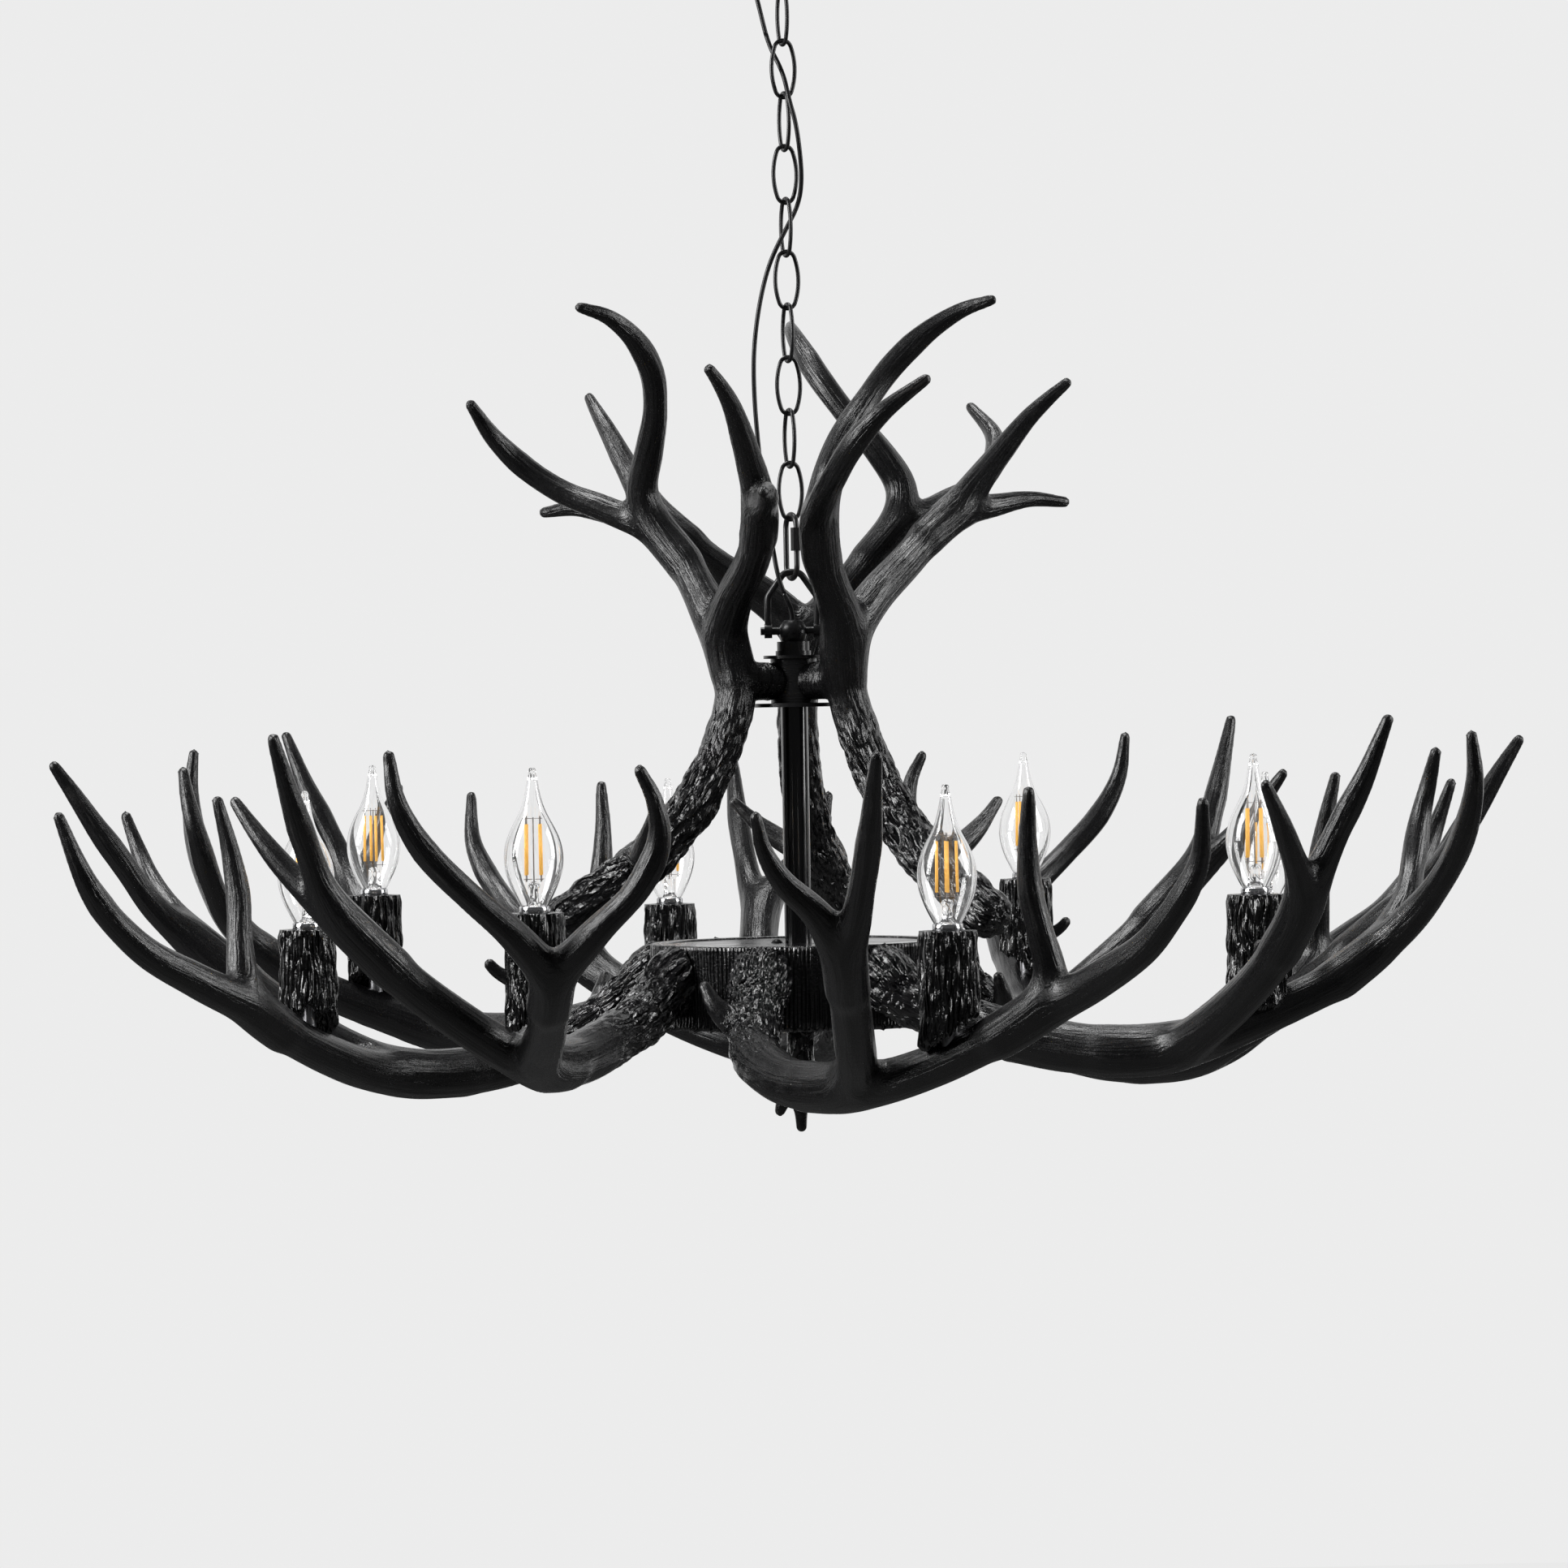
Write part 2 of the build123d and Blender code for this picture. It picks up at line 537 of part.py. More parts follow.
def lamp():
    """a candle lamp standing on z = 0: its threaded base, glass envelope and filaments"""
    with BuildPart() as base:
        with BuildSketch():
            Circle(LAMP_SKIRT_RADIUS)
        extrude(amount=LAMP_SKIRT_HEIGHT)
        with BuildSketch():
            Circle(LAMP_THREAD_RADIUS)
        extrude(amount=-LAMP_THREAD_LENGTH)
    glass = Pos(0, 0, LAMP_SKIRT_HEIGHT) * (glass_envelope(0) - glass_envelope(GLASS_WALL))
    filament_top = LAMP_STEM_HEIGHT + FILAMENT_LENGTH
    with BuildPart() as core:
        with BuildSketch(Plane.XY.offset(LAMP_SKIRT_HEIGHT)):
            Circle(LAMP_STEM_RADIUS)
        extrude(amount=LAMP_STEM_HEIGHT, taper=LAMP_STEM_TAPER)
        with BuildSketch(Plane.XY.offset(LAMP_SKIRT_HEIGHT)):
            Circle(FILAMENT_RADIUS)
        extrude(amount=filament_top)
        with PolarLocations(FILAMENT_RING_RADIUS, FILAMENT_COUNT):
            with Locations((0, 0, LAMP_SKIRT_HEIGHT + LAMP_STEM_HEIGHT)):
                Cylinder(
                    FILAMENT_RADIUS, FILAMENT_LENGTH, align=(Align.CENTER, Align.CENTER, Align.MIN)
                )
        for height in (LAMP_STEM_HEIGHT, filament_top):
            with Locations((0, 0, LAMP_SKIRT_HEIGHT + height - FILAMENT_RADIUS)):
                Box(2 * FILAMENT_RING_RADIUS, FILAMENT_RADIUS, FILAMENT_RADIUS)
                Box(FILAMENT_RADIUS, 2 * FILAMENT_RING_RADIUS, FILAMENT_RADIUS)
    return Compound(children=[base.part.solid(), glass.solid(), core.part.solid()])


# ---------------------------------------------------------------- ceiling canopy
CANOPY_BOTTOM_Z = -CANOPY_DEPTH
LOOP_BODY_Z = PIVOT_Z + loop_body_rise
with BuildPart() as canopy:
    with BuildSketch():
        Circle(CANOPY_RADIUS)
    extrude(amount=-CANOPY_DEPTH)
    fillet(canopy.edges().group_by(Axis.Z)[0], CANOPY_EDGE_RADIUS)
    offset(amount=-CANOPY_WALL, openings=canopy.faces().sort_by(Axis.Z)[-1])
    with BuildSketch(Plane.XY.offset(CANOPY_BOTTOM_Z)):
        Circle(LOOP_BODY_RADIUS + SEAT_CLEARANCE)
        with Locations(BUSHING_PLACE):
            Circle(BUSHING_RADIUS)
    extrude(amount=CANOPY_WALL, mode=Mode.SUBTRACT)
write(canopy.part, "canopy")

with BuildPart() as crossbar:
    with BuildSketch():
        Rectangle(CROSSBAR_LENGTH, CROSSBAR_WIDTH)
        Circle(LOOP_STUB_RADIUS + RUNNING_CLEARANCE, mode=Mode.SUBTRACT)
        with Locations((-CROSSBAR_SLOT_SPACING / 2, 0), (CROSSBAR_SLOT_SPACING / 2, 0)):
            SlotOverall(CROSSBAR_SLOT_LENGTH, CROSSBAR_SLOT_WIDTH, mode=Mode.SUBTRACT)
    extrude(amount=-CROSSBAR_THICKNESS)
write(crossbar.part, "crossbar")

with BuildPart() as canopy_loop:
    add(disc(LOOP_BODY_RADIUS, LOOP_BODY_Z, LOOP_BODY_Z + LOOP_BODY_LENGTH))
    add(disc(LOOP_STUB_RADIUS, LOOP_BODY_Z, 0))
    ring_centre = PIVOT_Z + loop_low_rise + LOOP_RING_RADIUS
    with Locations(upright_plane(CHAIN_AZIMUTH + 90, ring_centre)):
        Torus(LOOP_RING_RADIUS, LOOP_WIRE / 2)
write(canopy_loop.part, "canopy_loop")

lock_nut_bottom = -CROSSBAR_THICKNESS - LOCK_NUT_HEIGHT
write(
    hex_nut(
        LOCK_NUT_FLATS, lock_nut_bottom, LOCK_NUT_HEIGHT, LOOP_STUB_RADIUS + RUNNING_CLEARANCE
    ),
    "loop_lock_nut",
)

with BuildPart() as canopy_ring_nut:
    add(
        disc(
            RING_NUT_RADIUS,
            CANOPY_BOTTOM_Z - RING_NUT_HEIGHT,
            CANOPY_BOTTOM_Z,
            LOOP_BODY_RADIUS + RUNNING_CLEARANCE,
        )
    )
    with PolarLocations(RING_NUT_RADIUS, RING_NUT_GRIPS):
        with Locations((0, 0, CANOPY_BOTTOM_Z - RING_NUT_HEIGHT / 2)):
            Cylinder(RING_NUT_GRIP_RADIUS, RING_NUT_HEIGHT, mode=Mode.SUBTRACT)
write(canopy_ring_nut.part, "canopy_ring_nut")

with BuildPart() as cable_bushing:
    with BuildSketch(Plane.XY.offset(CANOPY_BOTTOM_Z)):
        with Locations(BUSHING_PLACE):
            Circle(BUSHING_RADIUS)
            Circle(CABLE_RADIUS + SEAT_CLEARANCE, mode=Mode.SUBTRACT)
    extrude(amount=CANOPY_WALL)
    with BuildSketch(Plane.XY.offset(CANOPY_BOTTOM_Z)):
        with Locations(BUSHING_PLACE):
            Circle(BUSHING_RADIUS + BUSHING_HEAD)
            Circle(CABLE_RADIUS + SEAT_CLEARANCE, mode=Mode.SUBTRACT)
    extrude(amount=-BUSHING_HEAD)
write(cable_bushing.part, "cable_bushing")

# ---------------------------------------------------------------- chain, quick link and bow
link_heights = [PIVOT_Z + first_link_rise + index * LINK_PITCH for index in range(LINK_COUNT)]
links = [
    oval_link(CHAIN_AZIMUTH + 90 * (index % 2), height) for index, height in enumerate(link_heights)
]
write(links[-1], "top_chain_link")
with BuildPart() as chain:
    for link in links[:-1]:
        add(link)
write(chain.part, "chain")

# one leg of the quick link is cut, and the sleeve screws across the cut
quick_link_plane = upright_plane(CHAIN_AZIMUTH + 90, PIVOT_Z + quick_link_rise)
leg = (QUICK_LINK_WIDTH - QUICK_LINK_WIRE) / 2
straight = QUICK_LINK_HALF - leg
with BuildPart() as quick_link:
    with BuildLine(quick_link_plane) as quick_link_path:
        Line((-leg, straight - QUICK_LINK_LAP - QUICK_LINK_CUT), (-leg, -straight))
        ThreePointArc((-leg, -straight), (0, -QUICK_LINK_HALF), (leg, -straight))
        Line((leg, -straight), (leg, straight))
        ThreePointArc((leg, straight), (0, QUICK_LINK_HALF), (-leg, straight))
        Line((-leg, straight), (-leg, straight - QUICK_LINK_LAP))
    quick_link_run = quick_link_path.wire()
    with BuildSketch(Plane(origin=quick_link_run @ 0, z_dir=quick_link_run % 0)):
        Circle(QUICK_LINK_WIRE / 2)
    sweep(path=quick_link_run)
write(quick_link.part, "quick_link")

sleeve_foot = quick_link_plane.from_local_coords((-leg, straight, 0))
with BuildPart() as quick_link_sleeve:
    with BuildSketch(Plane(sleeve_foot)):
        RegularPolygon(SLEEVE_FLATS / 2, 6, major_radius=False)
        Circle(QUICK_LINK_WIRE / 2 + RUNNING_CLEARANCE, mode=Mode.SUBTRACT)
    extrude(amount=-SLEEVE_LENGTH)
write(quick_link_sleeve.part, "quick_link_sleeve")

bow_plane = upright_plane(0, PIVOT_Z)
bow_points = (
    (-BOW_HALF_WIDTH, 0),
    (-BOW_HALF_WIDTH, BOW_HEIGHT - BOW_SHOULDER),
    (-BOW_TOP_HALF_WIDTH, BOW_HEIGHT),
    (BOW_TOP_HALF_WIDTH, BOW_HEIGHT),
    (BOW_HALF_WIDTH, BOW_HEIGHT - BOW_SHOULDER),
    (BOW_HALF_WIDTH, 0),
)
with BuildPart() as bow:
    add(bent_wire(bow_plane, bow_points, BOW_BEND, BOW_WIRE / 2))
    for side in (-1, 1):
        with BuildSketch(Plane.YZ.offset(side * BOW_HALF_WIDTH)):
            with Locations((0, PIVOT_Z)):
                Circle(BOW_EYE_RADIUS)
        extrude(amount=BOW_EYE_THICKNESS / 2, both=True)
        with BuildSketch(Plane.YZ.offset(side * BOW_HALF_WIDTH)):
            with Locations((0, PIVOT_Z)):
                Circle(PIVOT_RADIUS + RUNNING_CLEARANCE)
        extrude(amount=BOW_EYE_THICKNESS, both=True, mode=Mode.SUBTRACT)
write(bow.part, "bow")

# ---------------------------------------------------------------- hub
with BuildPart() as knob:
    with BuildSketch(Plane.XZ):
        with BuildLine():
            Polyline(
                (0, TOP_PLATE_TOP_Z),
                (FLANGE_RADIUS, TOP_PLATE_TOP_Z),
                (FLANGE_RADIUS, FLANGE_TOP_Z),
                (NECK_RADIUS, FLANGE_TOP_Z),
                (NECK_RADIUS, NECK_TOP_Z),
                (KNOB_FOOT_RADIUS, NECK_TOP_Z),
            )
            ThreePointArc(
                (KNOB_FOOT_RADIUS, NECK_TOP_Z),
                (KNOB_RADIUS, PIVOT_Z),
                (KNOB_CROWN_RADIUS, KNOB_TOP_Z),
            )
            Polyline((KNOB_CROWN_RADIUS, KNOB_TOP_Z), (0, KNOB_TOP_Z), (0, TOP_PLATE_TOP_Z))
        make_face()
    revolve(axis=Axis.Z)
    with BuildSketch(Plane.YZ):
        with Locations((0, PIVOT_Z)):
            Circle(PIVOT_RADIUS)
    extrude(amount=BOW_HALF_WIDTH + BOW_EYE_THICKNESS, both=True)
    add(disc(CABLE_RADIUS + SEAT_CLEARANCE, PIVOT_Z, KNOB_TOP_Z), mode=Mode.SUBTRACT)
    add(disc(ROD_HOLE_RADIUS, TOP_PLATE_TOP_Z, PIVOT_Z - PIVOT_RADIUS), mode=Mode.SUBTRACT)
    add(disc(CABLE_RADIUS + SEAT_CLEARANCE, TOP_PLATE_TOP_Z, PIVOT_Z), mode=Mode.SUBTRACT)
write(knob.part, "knob")

write(disc(TOP_PLATE_RADIUS, COLLAR_TOP_Z, TOP_PLATE_TOP_Z, ROD_HOLE_RADIUS), "hub_top_plate")
write(disc(BOTTOM_PLATE_RADIUS, STEM_TOP_Z, COLLAR_BOTTOM_Z, ROD_HOLE_RADIUS), "hub_bottom_plate")

upper_azimuths = [UPPER_AZIMUTH + 120 * index for index in range(3)]
stud_start = COLLAR_RADIUS - HUB_STUD_IN_COLLAR
with BuildPart() as hub_collar:
    add(disc(COLLAR_RADIUS, COLLAR_BOTTOM_Z, COLLAR_TOP_Z, ROD_HOLE_RADIUS))
    for azimuth in upper_azimuths:
        add(
            radial_rod(
                HUB_STUD_RADIUS + SEAT_CLEARANCE, azimuth, BOSS_Z, stud_start, 2 * COLLAR_RADIUS
            ),
            mode=Mode.SUBTRACT,
        )
write(hub_collar.part, "hub_collar")

with BuildPart() as hub_studs:
    for azimuth in upper_azimuths:
        add(
            radial_rod(
                HUB_STUD_RADIUS, azimuth, BOSS_Z, stud_start, COLLAR_RADIUS + HUB_STUD_IN_ANTLER
            )
        )
write(hub_studs.part, "hub_studs")

# ---------------------------------------------------------------- stem and rod
write(disc(STEM_RADIUS, LID_TOP_Z, STEM_TOP_Z, STEM_BORE_RADIUS), "stem")

rod_top = PIVOT_Z - PIVOT_RADIUS
rod_bottom = FLOOR_BOTTOM_Z - ROD_IN_FINIAL
slot_top = LID_TOP_Z - LID_THICKNESS - ROD_NUT_HEIGHT - ROD_SLOT_DROP
with BuildPart() as center_rod:
    add(disc(ROD_RADIUS, rod_bottom, rod_top, ROD_BORE_RADIUS))
    with Locations((0, 0, slot_top)):
        Box(
            2 * ROD_RADIUS,
            ROD_SLOT_WIDTH,
            ROD_SLOT_LENGTH,
            align=(Align.MIN, Align.CENTER, Align.MAX),
            mode=Mode.SUBTRACT,
        )
write(center_rod.part, "center_rod")

with BuildPart() as rod_nuts:
    nut_bottoms = (LID_TOP_Z - LID_THICKNESS - ROD_NUT_HEIGHT, FLOOR_TOP_Z)
    for bottom in nut_bottoms:
        add(hex_nut(ROD_NUT_FLATS, bottom, ROD_NUT_HEIGHT, ROD_RADIUS + RUNNING_CLEARANCE))
write(rod_nuts.part, "rod_nuts")

# ---------------------------------------------------------------- pan
WIDE_AZIMUTHS = [WIDE_BURR_AZIMUTH + 90 * index for index in range(4)]
TALL_AZIMUTHS = [TALL_BURR_AZIMUTH + 90 * index for index in range(4)]
PAN_INSIDE = PAN_RADIUS - PAN_WALL
lid_radius = PAN_RADIUS - PAN_RIM_WIDTH
lid_bottom = LID_TOP_Z - LID_THICKNESS
with BuildPart() as pan_shell:
    with BuildSketch(Plane.XZ):
        with BuildLine():
            Polyline(
                (PAN_RADIUS, PAN_BOTTOM_Z),
                (PAN_RADIUS, RIM_Z),
                (lid_radius, RIM_Z),
                (lid_radius, lid_bottom),
                (lid_radius - LID_SEAT_WIDTH, lid_bottom),
                (lid_radius - LID_SEAT_WIDTH, RIM_Z - PAN_RIM_THICKNESS),
                (PAN_INSIDE, RIM_Z - PAN_RIM_THICKNESS),
                (PAN_INSIDE, PAN_BOTTOM_Z),
                close=True,
            )
        make_face()
    revolve(axis=Axis.Z)
    for azimuth in WIDE_AZIMUTHS + TALL_AZIMUTHS:
        add(
            radial_rod(BOLT_RADIUS + SEAT_CLEARANCE, azimuth, BURR_Z, PAN_INSIDE / 2, 2 * PAN_RADIUS),
            mode=Mode.SUBTRACT,
        )
write(pan_shell.part, "pan_shell")

screw_x, screw_y = LID_SCREW_PLACE
with BuildPart() as pan_lid:
    add(disc(lid_radius - SEAT_CLEARANCE, lid_bottom, LID_TOP_Z, ROD_HOLE_RADIUS))
    with BuildSketch(Plane.XY.offset(lid_bottom)):
        with Locations(LID_SCREW_PLACE):
            Circle(LID_SCREW_SHANK + SEAT_CLEARANCE)
    extrude(amount=LID_THICKNESS, mode=Mode.SUBTRACT)
write(pan_lid.part, "pan_lid")

dome_radius = (LID_SCREW_RADIUS**2 + LID_SCREW_RISE**2) / (2 * LID_SCREW_RISE)
with BuildPart() as lid_screw:
    with Locations((screw_x, screw_y, LID_TOP_Z + LID_SCREW_RISE - dome_radius)):
        Sphere(dome_radius)
    with BuildSketch(Plane((screw_x, screw_y, LID_TOP_Z))):
        Circle(2 * dome_radius)
    extrude(amount=-2 * dome_radius, mode=Mode.SUBTRACT)
    with BuildSketch(Plane((screw_x, screw_y, LID_TOP_Z))):
        Circle(LID_SCREW_SHANK)
    extrude(amount=-LID_SCREW_LENGTH)
write(lid_screw.part, "lid_screw")

write(disc(PAN_INSIDE - SEAT_CLEARANCE, FLOOR_BOTTOM_Z, FLOOR_TOP_Z, ROD_HOLE_RADIUS), "pan_floor")

with BuildPart() as finial:
    for stations in FINIAL_MOULD.values():
        add(limb(stations, Vector(0, 0, FLOOR_BOTTOM_Z)))
    add(disc(PAN_INSIDE, FLOOR_BOTTOM_Z, FLOOR_TOP_Z + PAN_HEIGHT), mode=Mode.SUBTRACT)
    add(disc(ROD_HOLE_RADIUS, rod_bottom - ROD_END_GAP, FLOOR_BOTTOM_Z), mode=Mode.SUBTRACT)
write(finial.part, "finial")

washer_seat = sqrt(PAN_INSIDE**2 - BOLT_WASHER_RADIUS**2)
washer_start = washer_seat - BOLT_WASHER_THICKNESS
with BuildPart() as bolt_washers:
    for azimuth in WIDE_AZIMUTHS + TALL_AZIMUTHS:
        with BuildSketch(radial_plane(washer_start, azimuth, BURR_Z)):
            Circle(BOLT_WASHER_RADIUS)
            Circle(BOLT_RADIUS + SEAT_CLEARANCE, mode=Mode.SUBTRACT)
        extrude(amount=BOLT_WASHER_THICKNESS)
write(bolt_washers.part, "bolt_washers")

with BuildPart() as antler_bolts:
    for azimuth in WIDE_AZIMUTHS + TALL_AZIMUTHS:
        add(
            radial_rod(
                BOLT_RADIUS, azimuth, BURR_Z, washer_start, PAN_RADIUS + BOLT_IN_ANTLER
            )
        )
        with BuildSketch(radial_plane(washer_start, azimuth, BURR_Z)):
            RegularPolygon(BOLT_HEAD_FLATS / 2, 6, major_radius=False)
        extrude(amount=-BOLT_HEAD_HEIGHT)
write(antler_bolts.part, "antler_bolts")

with BuildPart() as wire_connectors:
    for place in CONNECTOR_PLACES:
        x, y = place
        mouth_z = FLOOR_TOP_Z + CONNECTOR_HEIGHT
        with BuildSketch(Plane((x, y, FLOOR_TOP_Z))):
            Circle(CONNECTOR_FOOT_RADIUS)
        with BuildSketch(Plane((x, y, mouth_z))):
            Circle(CONNECTOR_MOUTH_RADIUS)
        loft(mode=Mode.ADD)
        with BuildSketch(Plane((x, y, mouth_z))):
            Circle(CONNECTOR_BORE_RADIUS)
        extrude(amount=-CONNECTOR_BORE_DEPTH, mode=Mode.SUBTRACT)
write(wire_connectors.part, "wire_connectors")

# ---------------------------------------------------------------- supply cable and lead
cable_end_z = KNOB_TOP_Z - CABLE_IN_KNOB
bushing_x, bushing_y = BUSHING_PLACE
cable_points = [(bushing_x, bushing_y, 0), (bushing_x, bushing_y, CANOPY_BOTTOM_Z - CABLE_FIRST_RUN)]
cable_points += [(x, y, PIVOT_Z + rise) for x, y, rise in CABLE_ROUTE]
cable_points += [(0, 0, cable_end_z + CABLE_LAST_RUN), (0, 0, cable_end_z)]
write(cord_tube(cable_points, CABLE_RADIUS, "supply cable"), "supply_cable")

lead_turn_z = LID_TOP_Z - LEAD_TURN_DROP
mouth_x, mouth_y = CONNECTOR_PLACES[0]
lead_points = [
    (0, 0, cable_end_z),
    (0, 0, lead_turn_z),
    (mouth_x, mouth_y, lead_turn_z - LEAD_FALL),
    (mouth_x, mouth_y, FLOOR_TOP_Z + CONNECTOR_HEIGHT - LEAD_IN_CONNECTOR),
]
write(cord_tube(lead_points, CABLE_RADIUS, "stem lead"), "stem_lead")

# ---------------------------------------------------------------- lower antlers, cups and lamps
lamp_model = lamp()
cup_tops = []
for pair, (mould, azimuth, cup_foot) in enumerate(
    (
        (WIDE_MOULD, WIDE_BURR_AZIMUTH, WIDE_CUP_FOOT),
        (TALL_MOULD, TALL_BURR_AZIMUTH, TALL_CUP_FOOT),
    )
):
    burr_x, burr_y = polar(PAN_RADIUS, azimuth)
    burr = Vector(burr_x, burr_y, BURR_Z)
    cup_place = tuple(burr + Vector(*cup_foot) + Vector(0, 0, CUP_HEIGHT))
    with BuildPart() as bare_antler:
        add(antler(mould, burr))
        with Locations((0, 0, BURR_Z)):
            Cylinder(PAN_RADIUS, 2 * PAN_HEIGHT, mode=Mode.SUBTRACT)
    finished = lower_antler(bare_antler.part, azimuth, cup_place)
    cup = candle_cup(bare_antler.part, cup_place, mould is TALL_MOULD)
    print("lower antler", round(finished.volume), "cup", round(cup.volume))
    for index in range(4):
        number = 2 * index + pair + 1
        write(turned(finished, 90 * index), f"lower_antler_{number}")
        write(turned(cup, 90 * index), f"candle_cup_{number}")
        x, y, top = Vector(*cup_place).rotate(Axis.Z, 90 * index)
        cup_tops.append((x, y, top))
        placed_lamp = Pos(x, y, top + SEAT_CLEARANCE) * lamp_model
        write(placed_lamp, f"lamp_{number}")

with BuildPart() as lamp_sockets:
    for x, y, top in cup_tops:
        with BuildSketch(Plane((x, y, top))):
            Circle(CUP_BORE_RADIUS - SEAT_CLEARANCE)
        extrude(amount=-CUP_BORE_DEPTH)
        with BuildSketch(Plane((x, y, top))):
            Circle(LAMP_THREAD_RADIUS + RUNNING_CLEARANCE)
        extrude(amount=-LAMP_THREAD_LENGTH - SEAT_CLEARANCE, mode=Mode.SUBTRACT)
write(lamp_sockets.part, "lamp_sockets")

with BuildPart() as cup_nipples:
    for x, y, top in cup_tops:
        with BuildSketch(Plane((x, y, top - CUP_BORE_DEPTH))):
            Circle(NIPPLE_RADIUS)
            Circle(NIPPLE_BORE_RADIUS, mode=Mode.SUBTRACT)
        extrude(amount=-NIPPLE_LENGTH)
write(cup_nipples.part, "cup_nipples")

# ---------------------------------------------------------------- upper antlers
upper = upper_antler(UPPER_MOULD, UPPER_AZIMUTH)
print("upper antler", round(upper.volume))
for index in range(3):
    write(turned(upper, 120 * index), f"upper_antler_{index + 1}")
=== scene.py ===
"""The antler chandelier's looks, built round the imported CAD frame."""

import math

import bpy
import numpy as np
from mathutils import Matrix, Vector, noise


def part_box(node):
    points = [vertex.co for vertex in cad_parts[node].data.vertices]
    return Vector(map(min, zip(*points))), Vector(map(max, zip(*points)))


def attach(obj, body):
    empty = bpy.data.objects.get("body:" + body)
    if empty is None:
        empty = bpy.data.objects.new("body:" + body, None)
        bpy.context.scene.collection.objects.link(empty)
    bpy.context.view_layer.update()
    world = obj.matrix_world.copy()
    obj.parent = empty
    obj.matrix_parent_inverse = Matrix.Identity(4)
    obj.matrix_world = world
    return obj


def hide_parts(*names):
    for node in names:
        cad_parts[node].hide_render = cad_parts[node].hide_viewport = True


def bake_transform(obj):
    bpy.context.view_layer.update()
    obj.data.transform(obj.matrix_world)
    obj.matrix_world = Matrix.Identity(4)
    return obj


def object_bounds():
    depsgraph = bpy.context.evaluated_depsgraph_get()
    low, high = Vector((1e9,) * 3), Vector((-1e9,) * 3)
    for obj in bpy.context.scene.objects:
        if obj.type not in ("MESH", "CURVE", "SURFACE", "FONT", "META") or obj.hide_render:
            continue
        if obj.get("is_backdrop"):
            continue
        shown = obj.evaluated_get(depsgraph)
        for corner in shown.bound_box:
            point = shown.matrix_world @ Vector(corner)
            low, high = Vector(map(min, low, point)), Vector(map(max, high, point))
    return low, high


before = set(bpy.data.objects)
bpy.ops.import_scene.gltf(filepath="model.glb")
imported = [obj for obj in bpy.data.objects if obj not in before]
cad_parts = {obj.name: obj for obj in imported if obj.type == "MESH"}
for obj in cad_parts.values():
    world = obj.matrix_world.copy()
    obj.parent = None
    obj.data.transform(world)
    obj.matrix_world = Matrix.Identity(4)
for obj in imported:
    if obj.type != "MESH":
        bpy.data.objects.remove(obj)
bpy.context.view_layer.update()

MM = 0.001

# ---------------- sizes shared with the CAD, in mm
# a mould's stations are x, y, z from its seat and the limb's radius there
PIVOT_Z = -496.9
LID_TOP_Z = -699.4
RIM_Z = -698.4
PAN_BOTTOM_Z = -754.4
FLOOR_BOTTOM_Z = -751.4
BURR_Z = -719.4
BOSS_Z = -529.4
COLLAR_RADIUS = 15.0
BOSS_RADIUS = 12.0
BOSS_REACH = 27.0
PAN_RADIUS = 96.0
LID_RADIUS = 85.0
CUP_RADIUS = 18.5
CUP_HEIGHT = 72.0
CUP_BORE_RADIUS = 12.0
CUP_SLANT = math.tan(math.radians(38.0))
LAMP_THREAD_LENGTH = 24.0
CABLE_RADIUS = 1.5

WIDE_BURR_AZIMUTH = -104.7
WIDE_MOULD = {
    "beam": [
        (3, 16, 8, 20), (0, -3, -3, 20.5), (-2, -16, -14, 17), (-4, -40, -32, 16),
        (-3, -66, -45, 16), (13, -105, -57, 15), (36, -138, -61, 14.5), (52, -165, -57, 14),
        (58, -196, -44, 12.5), (57, -225, -27, 12), (53, -270, 7, 11.5), (48, -296, 29, 11),
        (35, -317, 52, 9), (16, -330, 71, 7), (5, -338, 90, 5), (1, -345, 109, 2.3),
    ],
    "front_prong": [
        (53, -270, 7, 11), (54, -299, 30, 10.5), (59, -322, 52, 8.8), (64, -340, 78, 7.2),
        (67, -357, 103, 5.6), (69, -371, 125, 4.2), (71, -383, 143, 2.3),
    ],
    "side_branch": [
        (30, -128, -60, 13), (52, -159, -60, 13.5), (80, -186, -54, 13), (107, -206, -44, 12.5),
        (145, -234, -25, 12), (175, -254, -7, 11.8), (202, -280, 9, 11), (225, -307, 26, 9.5),
        (241, -327, 47, 8), (252, -339, 66, 6.8), (258, -347, 84, 5.2), (259, -358, 113, 2.3),
    ],
    "inner_prong": [
        (145, -234, -25, 11), (167, -250, -7, 11), (173, -255, 12, 9.6), (168, -257, 36, 8.2),
        (163, -258, 60, 7.2), (161, -263, 90, 5.4), (162, -270, 120, 2.3),
    ],
    "brow": [
        (-3, -26, -24, 11), (-15, -37, -25, 9), (-27, -38, -16, 6.5), (-35, -35, -2, 3.5),
    ],
}
TALL_BURR_AZIMUTH = -145.2
